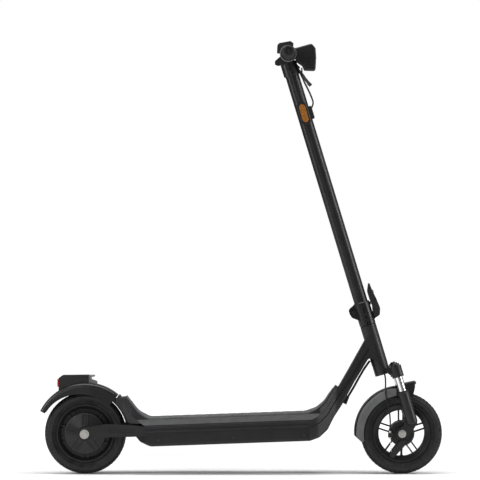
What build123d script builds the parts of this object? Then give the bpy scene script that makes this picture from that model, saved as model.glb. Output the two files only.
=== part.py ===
"""Electric kick scooter, millimetres. +X is forward, +Y is the rider's left, +Z is up.
The origin lies on the floor, under the middle of the whole scooter."""

from build123d import *
from math import cos, pi, radians, sin, tan
import os

os.makedirs("parts", exist_ok=True)

# ---------------------------------------------------------------- driving dimensions
FRONT_AXLE_X = 488.0
REAR_AXLE_X = -475.0
TYRE_R = 124.0
TYRE_W = 60.0
HEAD_ANGLE = 16.9  # backward lean of the steering axis from vertical
FORK_OFFSET = 2.0  # front axle ahead of the steering axis, level with the axle
BAR_HEIGHT_S = 1200.0  # handlebar centre, measured up the steering axis from the front axle
BAR_W = 540.0
DECK_W = 165.0
DECK_SLOPE = 2.04
DECK_TOP_Z = 159.0  # top edge of the side rails at DECK_REF_X
DECK_REF_X = 26.0
DECK_REAR_X = REAR_AXLE_X + 183.0
DECK_FRONT_X = FRONT_AXLE_X - 281.0
BELLY_DEPTH = 62.0  # rail top edge down to the underside of the tray
RAIL_H = 20.0
BELLY_ROUND = 8.0  # rounding along the lower edges of the tray and the neck
WALL = 3.0
GAP = 0.3  # clearance between neighbouring pieces of different bodies
FIT = 0.05  # radial running clearance of shafts and pins

# steering and fork
STEM_R = 21.0
STEM_WALL = 2.5
HEAD_TUBE_R = 24.5
HEAD_TUBE_LOW = 219.0
HEAD_TUBE_HIGH = 343.0
STEERER_R = 15.0
STEERER_BORE_R = 11.5
BEARING_R = 20.5
BEARING_H = 7.0
CROWN_LOW = 186.0
STEERER_LOW = 200.0
CABLE_MOUTH_R = 20.0  # flared mouth under the crown, where the front brake cable comes out
CROWN_ARM_LOW = 168.0
CROWN_ARM_HIGH = 203.0
CROWN_BRIDGE_LOW = 181.0
LEG_D = 40.6  # leg centre line ahead of the steering axis
LEG_Y = 60.0
LEG_R = 17.5
STANCHION_R = 12.3
LEG_TOP = 117.0
LEG_FOOT = 20.0
FORK_TRAVEL = 25.0
SPRING_WIRE_R = 1.4
SPRING_R = 7.5
SPRING_BORE_R = 9.6
SPRING_TOP = 150.0
LEG_BORE_LOW = 34.0
STANCHION_LOW = LEG_BORE_LOW + FORK_TRAVEL + 5.0
FENDER_MOUNT_S = 100.0

# folding joint
FOLD_LOW = HEAD_TUBE_HIGH
FOLD_SPLIT = 398.0
FOLD_HIGH = 416.0
FOLD_BLOCK_R = 25.0
FOLD_PIN_D = -32.0
FOLD_PIN_S = 391.0
FOLD_PIN_R = 4.0
FOLD_EAR_GAP = 9.0  # half width of the middle ear
LATCH_PIN_D = 35.0
LATCH_PIN_S = 369.0
LATCH_PIN_R = 3.0
LATCH_HALF_W = 15.0
BUTTON_S = 437.0
BUTTON_TRAVEL = 1.8

# wheels
RIM_SEAT_R = 82.0
RIM_LIP_R = 88.0
RIM_HALF_W = 22.0
BEAD_HALF_W = 19.0
FRONT_RIM_INNER_R = 70.0
REAR_RIM_INNER_R = 75.0
HUB_R = 38.5
HUB_LOW_Y = -23.0
HUB_HIGH_Y = 34.0
FRONT_AXLE_R = 5.0
REAR_AXLE_R = 6.0
WHEEL_BEARING_R = 14.0
WHEEL_BEARING_W = 8.0
SPOKE_PAIRS = 5
SPOKE_PITCH = 17.0
SPOKE_W = 4.5
MOTOR_R = 62.0
MOTOR_HALF_W = 33.0
MOTOR_COVER_Y = 45.0
STATOR_R = 52.0
STATOR_SLOTS = 27
ARM_IN_Y = 66.0
ARM_OUT_Y = 78.0
DROPOUT_IN_Y = 50.0
DROPOUT_OUT_Y = 60.0
FENDER_HALF_W = 38.0
FENDER_WALL = 2.5
FRONT_FENDER_R = 144.0
REAR_FENDER_R = 153.0
BRAKE_Y = -40.0  # brake cable, adjuster and arm end
ARM_PIVOT = (4.0, -25.0)  # brake arm pivot, from the front axle
BARREL = (452.6, 114.0)  # brake cable adjuster, foot of its body

# deck, neck and stand
RAIL_IN = 8.0
PLATE_H = 19.0
MAT_T = 4.0
TRAY_INSET = 3.5
PORT_DEPTH = 40.0
PORT_R = 9.0
KICK_X = DECK_REAR_X + 232.0
KICK_OUT = 10.0
KICK_LEN = 122.0
KICK_BAR_R = 5.5
KICK_PIN_R = 4.0

# cockpit
BAR_R = 11.5
BAR_D = 4.0
GRIP_R = 16.5
GRIP_LEN = 128.0
THROTTLE_R = 25.5
THROTTLE_Y = -122.0
PERCH_Y = 112.0
LEVER_U = 42.0  # brake lever pivot, out from the bar centre
LEVER_DROP = 46.7  # brake lever, below level
LEVER_REACH = 110.0
LAMP_LENS_R = 23.0
PORT_S = 1014.0
REFLECTOR_S = 1017.5
HEAD_SCREWS = [(2.0, 1146.0), (-2.0, 1159.0)]
CABLE_R = 2.3
HARNESS_R = 3.5

# ---------------------------------------------------------------- frames and helpers
LEAN = radians(HEAD_ANGLE)
AXLE_Z = TYRE_R
STEER = Plane(
    origin=(FRONT_AXLE_X - FORK_OFFSET, 0, AXLE_Z),
    x_dir=(cos(LEAN), 0, sin(LEAN)),
    z_dir=(-sin(LEAN), 0, cos(LEAN)),
).location
AXLE_D = FORK_OFFSET * cos(LEAN)
AXLE_S = -FORK_OFFSET * sin(LEAN)
FRONT_AXLE = Pos(FRONT_AXLE_X, 0, AXLE_Z)
REAR_AXLE = Pos(REAR_AXLE_X, 0, AXLE_Z)


def to_world(d, y, s):
    """A point given ahead of (d), beside (y) and up (s) the steering axis, in scooter axes."""
    return (STEER * Pos(d, y, s)).position


def outline(*corners):
    """A flat face from corners (u, v, radius), drawn round once."""
    points = [(u, v) for u, v, r in corners]
    return make_face(FilletPolyline(*points, radius=[r for u, v, r in corners], close=True).edges())


def side_solid(face, y_low, y_high):
    """A face drawn in the X-Z plane, as a solid from y_low to y_high."""
    return extrude(Plane.XZ.offset(-y_high) * face, amount=y_high - y_low)


def turned(*corners):
    """A solid of revolution about the Y axis from corners (radius, y, fillet)."""
    return revolve(outline(*corners), Axis.Y)


def rod(radius, y_low, y_high):
    """A cylinder along Y through the origin."""
    return Pos(0, (y_low + y_high) / 2, 0) * Rot(90, 0, 0) * Cylinder(radius, y_high - y_low)


def ring(outer, inner, y_low, y_high):
    """A tube along Y through the origin."""
    return rod(outer, y_low, y_high) - rod(inner, y_low - 1, y_high + 1)


def post(radius, low, high):
    """A cylinder along Z through the origin."""
    return Pos(0, 0, (low + high) / 2) * Cylinder(radius, high - low)


def sleeve(outer, inner, low, high):
    """A tube along Z through the origin."""
    return post(outer, low, high) - post(inner, low - 1, high + 1)


def hexagon(radius, y_low, y_high):
    """A hexagonal bar along Y through the origin."""
    return side_solid(RegularPolygon(radius, 6), y_low, y_high)


def cable(points, radius):
    """A cable along a list of points, with tangent arcs as large as the runs allow."""
    vectors = [Vector(*p) for p in points]
    runs = [b - a for a, b in zip(vectors, vectors[1:])]
    radii = []
    for before, after in zip(runs, runs[1:]):
        half_turn = radians(before.get_angle(after)) / 2
        radii.append(0.45 * min(before.length, after.length) / tan(half_turn))
    print("cable radii", [round(r, 1) for r in radii])
    path = FilletPolyline(*vectors, radius=radii)
    start = Plane(origin=path @ 0, z_dir=path % 0)
    tube = sweep(start * Circle(radius), path=path)
    print("cable volume", round(tube.volume), "section times length", round(pi * radius**2 * path.length))
    return tube


def save(name, *solids):
    """Writes one node, which may hold several separate solids."""
    shape = solids[0] if len(solids) == 1 else Compound(children=list(solids))
    export_step(shape, f"parts/{name}.step")


def rail_z(x):
    """Height of the rail's top edge at x."""
    return DECK_TOP_Z + (x - DECK_REF_X) * tan(radians(DECK_SLOPE))


def belly_z(x):
    """Height of the tray's underside at x."""
    return rail_z(x) - BELLY_DEPTH


def neck(across, up):
    """A side-view point, by its share of the way from the deck's front edge to the head tube's top."""
    low = Vector(DECK_FRONT_X, 0, rail_z(DECK_FRONT_X))
    high = to_world(-HEAD_TUBE_R, 0, HEAD_TUBE_HIGH)
    return low.X + across * (high.X - low.X), low.Z + up * (high.Z - low.Z)


def behind(x, z):
    """A side-view point, given from the rear axle."""
    return REAR_AXLE_X + x, AXLE_Z + z


def from_bar(x, z):
    """A side-view point, given from the handlebar's centre."""
    return BAR_AT.X + x, BAR_AT.Z + z


def mirrored(side):
    """The turn that carries a piece from the left side to the given side."""
    return Rot(0, 0, 0) if side == 1 else Rot(180, 0, 0)


BAR_AT = to_world(BAR_D, 0, BAR_HEIGHT_S)
BAR_AXLE = STEER * Pos(BAR_D, 0, BAR_HEIGHT_S)
LEVER_FRAME = Rot(0, LEVER_DROP + HEAD_ANGLE, 0)
BARREL_TOP = (BAR_AXLE * LEVER_FRAME * Pos(22, PERCH_Y - 32, 0)).position
POWER_AT = Pos(BAR_AT.X - 25.5, 0, BAR_AT.Z + 36.2) * Rot(0, -30, 0)
KICK_Y = DECK_W / 2 + KICK_OUT
KICK_FRAME = Plane(
    origin=(KICK_X, KICK_Y, rail_z(KICK_X) - RAIL_H - 20), x_dir=(1, 0, 0), z_dir=(0, 0.936, 0.352)
).location
NECK_TOP = [neck(0.1732, 0.0467), neck(0.3465, 0.1325), neck(0.4748, 0.2595), neck(0.5935, 0.3757)]
TUBE_TOP_LOW = neck(0.7507, 0.5259)
TUBE_BOTTOM_LOW = neck(0.8919, 0.424)
TUBE_TOP_HIGH = neck(1.0908, 0.8657)
TUBE_BOTTOM_HIGH = neck(1.171, 0.6815)
KICK = [(*behind(162, 40), 40), (*behind(139, 58), 40)]
RAMP_TOP = [
    (*neck(0.5358, 0.365), 0),
    (*neck(0.4126, 0.2763), 80),
    (*neck(0.3144, 0.1894), 60),
    (*neck(0.1559, 0.1118), 40),
    (DECK_FRONT_X - 11, rail_z(DECK_FRONT_X - 11) + PLATE_H, 60),
    (DECK_REAR_X + 13, rail_z(DECK_REAR_X + 13) + PLATE_H, 40),
    (*behind(159, 63), 60),
]
HARNESS = [(313, 12, 213.5), (326, 12, 234), (343, 11, 262), (358, 9, 290), (374, 7, 318), (392.2, 6, 343.6)]


# ---------------------------------------------------------------- wheels
def tyre():
    crown = TYRE_R
    half = TYRE_W / 2
    wall = 5.0
    tread_wall = 7.0
    return turned(
        (RIM_SEAT_R, -BEAD_HALF_W, 0),
        (RIM_LIP_R + 1.5, -BEAD_HALF_W, 2),
        (RIM_LIP_R + 9, -BEAD_HALF_W - 8, 6),
        (crown - 19, -half, 8),
        (crown - 8, -half, 8),
        (crown, -half + 15, 20),
        (crown, half - 15, 20),
        (crown - 8, half, 8),
        (crown - 19, half, 8),
        (RIM_LIP_R + 9, BEAD_HALF_W + 8, 6),
        (RIM_LIP_R + 1.5, BEAD_HALF_W, 2),
        (RIM_SEAT_R, BEAD_HALF_W, 0),
        (RIM_SEAT_R, BEAD_HALF_W - wall, 0),
        (RIM_LIP_R + 5, BEAD_HALF_W - wall + 1, 4),
        (crown - 18, half - wall, 4),
        (crown - tread_wall, half - 14, 8),
        (crown - tread_wall, -half + 14, 8),
        (crown - 18, -half + wall, 4),
        (RIM_LIP_R + 5, -BEAD_HALF_W + wall - 1, 4),
        (RIM_SEAT_R, -BEAD_HALF_W + wall, 0),
    )


def rim_ring(inner):
    """The hoop that seats the tyre, with a dropped well between two lips."""
    lip_in = BEAD_HALF_W
    return turned(
        (inner, -RIM_HALF_W + 6, 2),
        (RIM_LIP_R - 4, -RIM_HALF_W, 2),
        (RIM_LIP_R, -RIM_HALF_W, 0.6),
        (RIM_LIP_R, -lip_in, 0.6),
        (RIM_SEAT_R, -lip_in, 0),
        (RIM_SEAT_R, -lip_in + 6, 0),
        (RIM_SEAT_R - 3, -lip_in + 9, 0),
        (RIM_SEAT_R - 3, lip_in - 9, 0),
        (RIM_SEAT_R, lip_in - 6, 0),
        (RIM_SEAT_R, lip_in, 0),
        (RIM_LIP_R, lip_in, 0.6),
        (RIM_LIP_R, RIM_HALF_W, 0.6),
        (RIM_LIP_R - 4, RIM_HALF_W, 2),
        (inner, RIM_HALF_W - 6, 2),
    )


def spokes(r_low, r_high, width, depth, first_angle):
    """Pairs of parallel spokes between the hub and the hoop."""
    bars = []
    for i in range(SPOKE_PAIRS):
        for side in (-0.5, 0.5):
            bar = Pos((r_low + r_high) / 2, 0, side * SPOKE_PITCH) * Box(r_high - r_low, depth, width)
            bars.append(Rot(0, -(first_angle + i * 360 / SPOKE_PAIRS), 0) * bar)
    return bars


def front_wheel():
    rim = rim_ring(FRONT_RIM_INNER_R)
    hub = turned(
        (WHEEL_BEARING_R, HUB_LOW_Y, 0),
        (HUB_R - WALL, HUB_LOW_Y, 0),
        (HUB_R, HUB_LOW_Y, 1),
        (HUB_R, HUB_HIGH_Y - 8, 4),
        (20, HUB_HIGH_Y, 4),
        (WHEEL_BEARING_R, HUB_HIGH_Y, 0),
    )
    drum = ring(HUB_R - 2 * WALL, WHEEL_BEARING_R + WALL, HUB_LOW_Y - 1, HUB_HIGH_Y - 22)
    for bar in spokes(HUB_R - 6, FRONT_RIM_INNER_R + 4, SPOKE_W, 18, 90):
        rim += Pos(0, 4, 0) * bar
    body = rim + hub - drum
    bearings = [
        ring(WHEEL_BEARING_R, FRONT_AXLE_R + FIT, HUB_LOW_Y, HUB_LOW_Y + WHEEL_BEARING_W),
        ring(WHEEL_BEARING_R, FRONT_AXLE_R + FIT, HUB_HIGH_Y - WHEEL_BEARING_W, HUB_HIGH_Y),
    ]
    save("front_tyre", FRONT_AXLE * tyre())
    save("front_rim", FRONT_AXLE * body)
    save("front_wheel_bearings", *[FRONT_AXLE * b for b in bearings])


def rear_wheel():
    shell = turned(
        (STATOR_R + 1, -MOTOR_HALF_W, 0),
        (MOTOR_R, -MOTOR_HALF_W, 1),
        (MOTOR_R, MOTOR_HALF_W, 1),
        (STATOR_R + 1, MOTOR_HALF_W, 0),
    )
    body = rim_ring(REAR_RIM_INNER_R) + shell
    body += ring(REAR_RIM_INNER_R + 3, MOTOR_R - 2, -4, 4)
    for bar in spokes(MOTOR_R - 6, REAR_RIM_INNER_R + 4, 5, 30, 54):
        body += bar - rod(STATOR_R + 1, -60, 60)
    save("motor_shell", REAR_AXLE * body)
    save("rear_tyre", REAR_AXLE * tyre())
    covers = []
    bearings = []
    for side in (-1, 1):
        cover = turned(
            (WHEEL_BEARING_R, MOTOR_HALF_W, 0),
            (MOTOR_R, MOTOR_HALF_W, 0),
            (MOTOR_R, MOTOR_HALF_W + 3, 2),
            (24, MOTOR_COVER_Y, 4),
            (WHEEL_BEARING_R + 3, MOTOR_COVER_Y, 1),
            (WHEEL_BEARING_R + 3, MOTOR_COVER_Y - 3, 0),
            (WHEEL_BEARING_R, MOTOR_COVER_Y - 3, 0),
        )
        for bar in spokes(25, MOTOR_R - 2, 3.5, 12, 54):
            rib = Pos(0, MOTOR_COVER_Y - 4.5, 0) * bar
            cover += rib & rod(MOTOR_R - 1, MOTOR_HALF_W, MOTOR_COVER_Y + 1)
        screw = Pos(MOTOR_R - 5.5, 0, 0) * rod(2.2, MOTOR_HALF_W + 1, MOTOR_HALF_W + 6)
        for i in range(6):
            cover += Rot(0, i * 60 + 30, 0) * screw
        bearing = ring(WHEEL_BEARING_R, REAR_AXLE_R + FIT, MOTOR_HALF_W, MOTOR_HALF_W + WHEEL_BEARING_W)
        covers.append(REAR_AXLE * mirrored(side) * cover)
        bearings.append(REAR_AXLE * mirrored(side) * bearing)
    save("motor_covers", *covers)
    save("rear_wheel_bearings", *bearings)
    stator = ring(STATOR_R, REAR_AXLE_R, -MOTOR_HALF_W + 10, MOTOR_HALF_W - 10)
    for i in range(STATOR_SLOTS):
        slot = Pos(STATOR_R - 6, 0, 0) * Box(13, 2 * MOTOR_HALF_W, 2.2)
        stator -= Rot(0, i * 360 / STATOR_SLOTS, 0) * slot
    save("motor_stator", REAR_AXLE * stator)
    axle = rod(REAR_AXLE_R, -ARM_OUT_Y - 12, ARM_OUT_Y + 12)
    nuts = []
    for side in (-1, 1):
        washer = ring(14, REAR_AXLE_R, ARM_OUT_Y, ARM_OUT_Y + 2)
        nut = hexagon(10, ARM_OUT_Y + 2, ARM_OUT_Y + 10) - rod(REAR_AXLE_R, 0, 200)
        dome = rod(7.7, ARM_OUT_Y + 10, ARM_OUT_Y + 13) - rod(REAR_AXLE_R, 0, 200)
        nuts.append(REAR_AXLE * mirrored(side) * (washer + nut + dome))
    save("rear_axle_set", REAR_AXLE * axle, *nuts)


# ---------------------------------------------------------------- deck and frame
def plan(*half_outline):
    """A plan-view solid, symmetric about the middle, from (x, half width, fillet) corners."""
    upper = [(x, y, r) for x, y, r in half_outline]
    lower = [(x, -y, r) for x, y, r in reversed(half_outline)]
    return extrude(outline(*upper, *lower), amount=500)


def neck_block():
    """The neck's whole outer form, tapered from the deck's width to the down tube's."""
    half = DECK_W / 2
    neck_side = outline(
        (DECK_FRONT_X, rail_z(DECK_FRONT_X), 0),
        (*NECK_TOP[0], 30),
        (*NECK_TOP[1], 60),
        (*NECK_TOP[2], 60),
        (*TUBE_TOP_LOW, 0),
        (*TUBE_BOTTOM_LOW, 0),
        (*neck(0.6352, 0.1593), 60),
        (*neck(0.4812, 0.0324), 30),
        (*neck(0.3529, -0.1053), 30),
        (*neck(0.1861, -0.1858), 20),
        (DECK_FRONT_X, belly_z(DECK_FRONT_X), 0),
    )
    block = side_solid(neck_side, -half, half) & neck_plan(0)
    under = block.faces().filter_by(lambda f: f.normal_at().Z < -0.3 and abs(f.normal_at().Y) < 0.01)
    long_edges = under.edges().filter_by(
        lambda e: abs(e.center().Y) > HEAD_TUBE_R and e.center().X > DECK_FRONT_X + 0.5
    )
    return fillet(long_edges, BELLY_ROUND)


def neck_plan(inset):
    """The neck's plan shape, drawn in by inset."""
    half = DECK_W / 2 - inset
    tube_half = HEAD_TUBE_R + 0.5 - inset
    waist = HEAD_TUBE_R + 11.5 - inset
    return plan(
        (DECK_FRONT_X - 20, half, 0),
        (neck(0.1155, 0)[0], half, 40),
        (neck(0.5711, 0)[0], waist, 60),
        (neck(1.4309, 0)[0], tube_half, 0),
    )


def frame():
    half = DECK_W / 2
    tube_side = outline(
        (*TUBE_TOP_LOW, 0),
        (*TUBE_TOP_HIGH, 0),
        (*neck(1.1871, 0.9175), 10),
        (*neck(1.3988, 0.8388), 0),
        (*neck(1.3988, 0.5885), 0),
        (*TUBE_BOTTOM_HIGH, 10),
        (*TUBE_BOTTOM_LOW, 0),
    )
    groove_side = outline(
        (DECK_FRONT_X - 1, rail_z(DECK_FRONT_X) - RAIL_H + 8, 0),
        (*neck(0.1347, -0.0088), 30),
        (*neck(0.3144, 0.0878), 50),
        (*neck(0.5197, 0.2595), 50),
        (*neck(0.8085, 0.4848), 0),
        (*neck(1.1486, 0.7888), 3),
        (*neck(1.1678, 0.7602), 3),
        (*neck(0.8406, 0.4562), 0),
        (*neck(0.5518, 0.2344), 50),
        (*neck(0.3593, 0.0592), 50),
        (*neck(0.1668, -0.0445), 30),
        (DECK_FRONT_X - 1, rail_z(DECK_FRONT_X) - RAIL_H, 0),
    )
    groove = side_solid(groove_side, -half - 1, half + 1) - neck_plan(WALL)
    casting = neck_block() - groove
    head_bore = STEER * post(HEAD_TUBE_R, HEAD_TUBE_LOW - 20, HEAD_TUBE_HIGH + 60)
    cut_ahead = STEER * Pos(60, 0, 300) * Box(120, 90, 400)
    tube = (side_solid(tube_side, -half, half) & neck_plan(0)) - groove - head_bore - cut_ahead
    harness_hole = Pos(*HARNESS[0]) * Rot(0, 30, 0) * post(HARNESS_R + 1, -16, 40)
    save("neck_casting", casting - harness_hole)
    save("down_tube", tube)
    shell = sleeve(HEAD_TUBE_R, BEARING_R, HEAD_TUBE_LOW, HEAD_TUBE_HIGH)
    shell += sleeve(HEAD_TUBE_R, STEERER_R + 2, HEAD_TUBE_LOW + BEARING_H, HEAD_TUBE_HIGH - BEARING_H)
    save("head_tube", STEER * shell)
    low = sleeve(BEARING_R, STEERER_R + FIT, HEAD_TUBE_LOW, HEAD_TUBE_LOW + BEARING_H)
    high = sleeve(BEARING_R, STEERER_R + FIT, HEAD_TUBE_HIGH - BEARING_H, HEAD_TUBE_HIGH)
    save("headset_bearings", STEER * low, STEER * high)

    # side rails, deck plate and the rubber mat
    rails = []
    arms = []
    for side in (-1, 1):
        rail_side = outline(
            (DECK_REAR_X, rail_z(DECK_REAR_X), 0),
            (DECK_FRONT_X, rail_z(DECK_FRONT_X), 0),
            (DECK_FRONT_X, rail_z(DECK_FRONT_X) - RAIL_H, 0),
            (DECK_REAR_X, rail_z(DECK_REAR_X) - RAIL_H, 0),
        )
        rail = side_solid(rail_side, *sorted((side * (half - RAIL_IN), side * half)))
        outer_edges = rail.edges().filter_by(lambda e: abs(e.center().Y) > half - 0.1 and e.length > 100)
        rail = fillet(outer_edges, 2.5)
        middle = (DECK_REAR_X + DECK_FRONT_X) / 2
        rail -= Pos(middle, side * half, rail_z(middle) - 11) * Rot(0, -DECK_SLOPE, 0) * Box(900, 5, 4)
        rails.append(rail)
        arm_side = outline(
            (*behind(-17, 17), 16.9),
            (*behind(65, 30.5), 40),
            (*behind(145, 27), 40),
            (DECK_REAR_X, rail_z(DECK_REAR_X) - 0.5, 0),
            (DECK_REAR_X, rail_z(DECK_REAR_X) - 29.7, 0),
            (*behind(145, -8), 40),
            (*behind(65, -9.5), 40),
            (*behind(-17, -17), 16.9),
        )
        arm = side_solid(arm_side, *sorted((side * ARM_IN_Y, side * ARM_OUT_Y)))
        arm -= REAR_AXLE * rod(REAR_AXLE_R, -200, 200)
        arm -= Pos(REAR_AXLE_X + 113, side * ARM_OUT_Y, AXLE_Z + 10) * Box(76, 4, 11)
        arms.append(arm)
    save("side_rails", *rails)
    save("rear_arms", *arms)


def deck_plan(inset):
    """The deck's plan shape, drawn in by inset, from the rear cover to the neck."""
    half = DECK_W / 2 - inset
    return plan(
        (REAR_AXLE_X + 85, 52 - inset, 0),
        (REAR_AXLE_X + 113, 56 - inset, 20),
        (DECK_REAR_X - 6, half, 40),
        (neck(0.1155, 0)[0], half, 40),
        (neck(0.5711, 0)[0], HEAD_TUBE_R + 11.5 - inset, 60),
        (neck(0.7892, 0)[0], HEAD_TUBE_R + 5.5 - inset, 0),
    )


def sloped_block(x_low, x_high, depth_low, depth_high, half_width):
    """A block that follows the deck's slope, between two depths under the rails' top edge."""
    face = outline(
        (x_low, rail_z(x_low) - depth_low, 0),
        (x_high, rail_z(x_high) - depth_low, 0),
        (x_high, rail_z(x_high) - depth_high, 0),
        (x_low, rail_z(x_low) - depth_high, 0),
    )
    return side_solid(face, -half_width, half_width)


def rear_cover():
    """The moulded ramp at the back of the deck, curved round the rear wheel."""
    half = DECK_W / 2
    end_x = DECK_REAR_X - 11
    end_share = (end_x - KICK[0][0]) / (DECK_REAR_X - KICK[0][0])
    end_z = KICK[0][1] + end_share * (rail_z(DECK_REAR_X) - KICK[0][1])
    base_z = AXLE_Z + 31.9
    cover = side_solid(
        outline(
            (*behind(109, 108), 0),
            KICK[1],
            KICK[0],
            (end_x, end_z, 0),
            (end_x, base_z, 0),
            (REAR_AXLE_X + 134, base_z, 8),
            (*behind(121, 60), 60),
            (*behind(95, 93), 6),
            (*behind(94, 105), 4),
            (*behind(103, 117), 2),
        ),
        -half,
        half,
    )
    above_rim = REAR_AXLE * Pos(55, 0, 136) * Box(100, 200, 60)
    fender_space = REAR_AXLE * rod(REAR_FENDER_R + GAP, -FENDER_HALF_W - 1, FENDER_HALF_W + 1)
    return (cover & deck_plan(0.5)) - (fender_space & above_rim)


def deck_plate():
    """The plate that carries the rider, with bevelled sides, ramps at both ends and a hollow underside."""
    half = DECK_W / 2
    edge_bevel = 14.0
    rear = DECK_REAR_X
    plate_side = outline(
        (*behind(109, 108), 0),
        KICK[1],
        KICK[0],
        (rear, rail_z(rear), 0),
        (DECK_FRONT_X, rail_z(DECK_FRONT_X), 0),
        (*NECK_TOP[0], 30),
        (*NECK_TOP[1], 60),
        (*NECK_TOP[2], 60),
        (*neck(0.5711, 0.3539), 0),
        *RAMP_TOP,
        (*behind(123, 110), 0),
    )
    plate = side_solid(plate_side, -half + 1, half - 1)
    for side in (-1, 1):
        cut_face = make_face(
            Polyline(
                (side * (half - 1), 3),
                (side * (half - 1 - edge_bevel), PLATE_H + 1),
                (side * (half - 1 - edge_bevel), PLATE_H + 80),
                (side * (half + 30), PLATE_H + 80),
                (side * (half + 30), 3),
                close=True,
            )
        )
        low_x = REAR_AXLE_X + 75
        slope = tan(radians(DECK_SLOPE))
        start = Plane(origin=(low_x, 0, rail_z(low_x)), x_dir=(0, 1, 0), z_dir=(1, 0, slope))
        plate -= extrude(start * cut_face, amount=DECK_FRONT_X + 33 - low_x)
    plate &= deck_plan(1)
    return plate - sloped_block(DECK_REAR_X + 8, DECK_FRONT_X - 7, -(PLATE_H - 4), 1, 60)


def deck():
    half = DECK_W / 2
    save("deck_plate", deck_plate())
    mat_side = outline(
        (*behind(123, 110), 0),
        *reversed(RAMP_TOP),
        (*neck(0.5197, 0.3757), 0),
        (*neck(0.3914, 0.2845), 80),
        (*neck(0.2952, 0.1994), 60),
        (*neck(0.1412, 0.1236), 40),
        (DECK_FRONT_X - 12, rail_z(DECK_FRONT_X - 12) + PLATE_H + MAT_T, 60),
        (DECK_REAR_X + 14, rail_z(DECK_REAR_X + 14) + PLATE_H + MAT_T, 40),
        (*behind(161.5, 66), 60),
        (*behind(125.5, 113.5), 0),
    )
    save("deck_mat", side_solid(mat_side, -half, half) & deck_plan(17))
    save("kick_up_cover", rear_cover())

    # battery tray: an open pan hung under the rails
    def tray_outline(inset):
        return outline(
            (DECK_REAR_X - 30 + inset, rail_z(DECK_REAR_X) - 21.2 + inset, 0),
            (DECK_REAR_X - 29 + inset, rail_z(DECK_REAR_X) - 29.7 + inset / 2, 4),
            (DECK_REAR_X - 14 + inset / 2, rail_z(DECK_REAR_X) - 47.7 + inset, 20),
            (DECK_REAR_X + 16, belly_z(DECK_REAR_X + 16) + inset, 30),
            (DECK_FRONT_X - inset, belly_z(DECK_FRONT_X - inset) + inset, 0),
            (DECK_FRONT_X - inset, rail_z(DECK_FRONT_X - inset) - RAIL_H + 9 * inset, 0),
            (DECK_REAR_X, rail_z(DECK_REAR_X) - RAIL_H + 9 * inset, 0),
        )

    tray_half = half - TRAY_INSET
    tray = side_solid(tray_outline(0), -tray_half, tray_half)
    for side in (-1, 1):
        tray -= Pos(DECK_REAR_X - 43, side * (ARM_IN_Y + 50 - GAP), AXLE_Z - 14) * Box(86, 100, 100)
    long_edges = tray.edges().filter_by(
        lambda e: abs(e.center().Y) > tray_half - 0.1 and e.length > 200 and e.center().Z < belly_z(0) + 25
    )
    tray = fillet(long_edges, BELLY_ROUND)
    cavity = side_solid(tray_outline(WALL), -tray_half + WALL, tray_half - WALL)
    middle = (DECK_REAR_X + DECK_FRONT_X) / 2
    cavity &= Pos(middle + 4, 0, AXLE_Z) * Box(DECK_FRONT_X - DECK_REAR_X, 400, 200)
    tray -= cavity
    bolts = []
    for side in (-1, 1):
        for x in (DECK_REAR_X + 40, middle + 19.5, DECK_FRONT_X - 17):
            place = Pos(x, 0, rail_z(x) - 44) * mirrored(side)
            slot = Pos(0, tray_half + 2.5, 0) * Box(5, 3, 1.2)
            head = rod(4.5, tray_half, tray_half + 2.5) - slot
            bolts.append(place * (head + rod(2.5, tray_half - 9, tray_half)))
            tray -= place * rod(2.5, tray_half - 20, tray_half + 1)
    port_x = DECK_FRONT_X - 87
    port = Pos(port_x, 0, rail_z(port_x) - PORT_DEPTH)
    tray -= port * rod(PORT_R, tray_half - 10, tray_half + 5)
    save("battery_tray", tray)
    save("tray_bolts", *bolts)
    flap_low, flap_high = tray_half + GAP, tray_half + 3.0
    flap_y = (flap_low + flap_high) / 2
    flap = rod(PORT_R + 3, flap_low, flap_high) + Pos(0, flap_y, 11) * Box(14, flap_high - flap_low, 6)
    flap += rod(PORT_R - 2.8, tray_half - 3, flap_low)
    flap += Pos(0, flap_y + 0.4, 14) * Rot(0, 90, 0) * Cylinder(1.6, 14)
    save("charge_flap", port * flap)
    pack_low = BELLY_DEPTH - WALL - 3
    pack = sloped_block(DECK_REAR_X + 57, DECK_FRONT_X - 89, RAIL_H + 1, pack_low, tray_half - 14)
    save("battery_pack", pack)
    save("controller_box", sloped_block(DECK_FRONT_X - 67, DECK_FRONT_X - 11, RAIL_H + 3, pack_low - 1, 48))


def channel(radius, low_r):
    """Half section of a fender: a channel with rounded shoulders, from low_r up to radius."""
    w, t = FENDER_HALF_W, FENDER_WALL
    return outline(
        (low_r, -w, 0),
        (radius, -w, 12),
        (radius, w, 12),
        (low_r, w, 0),
        (low_r, w - t, 0),
        (radius - t, w - t, 10),
        (radius - t, -w + t, 10),
        (low_r, -w + t, 0),
    )


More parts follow.
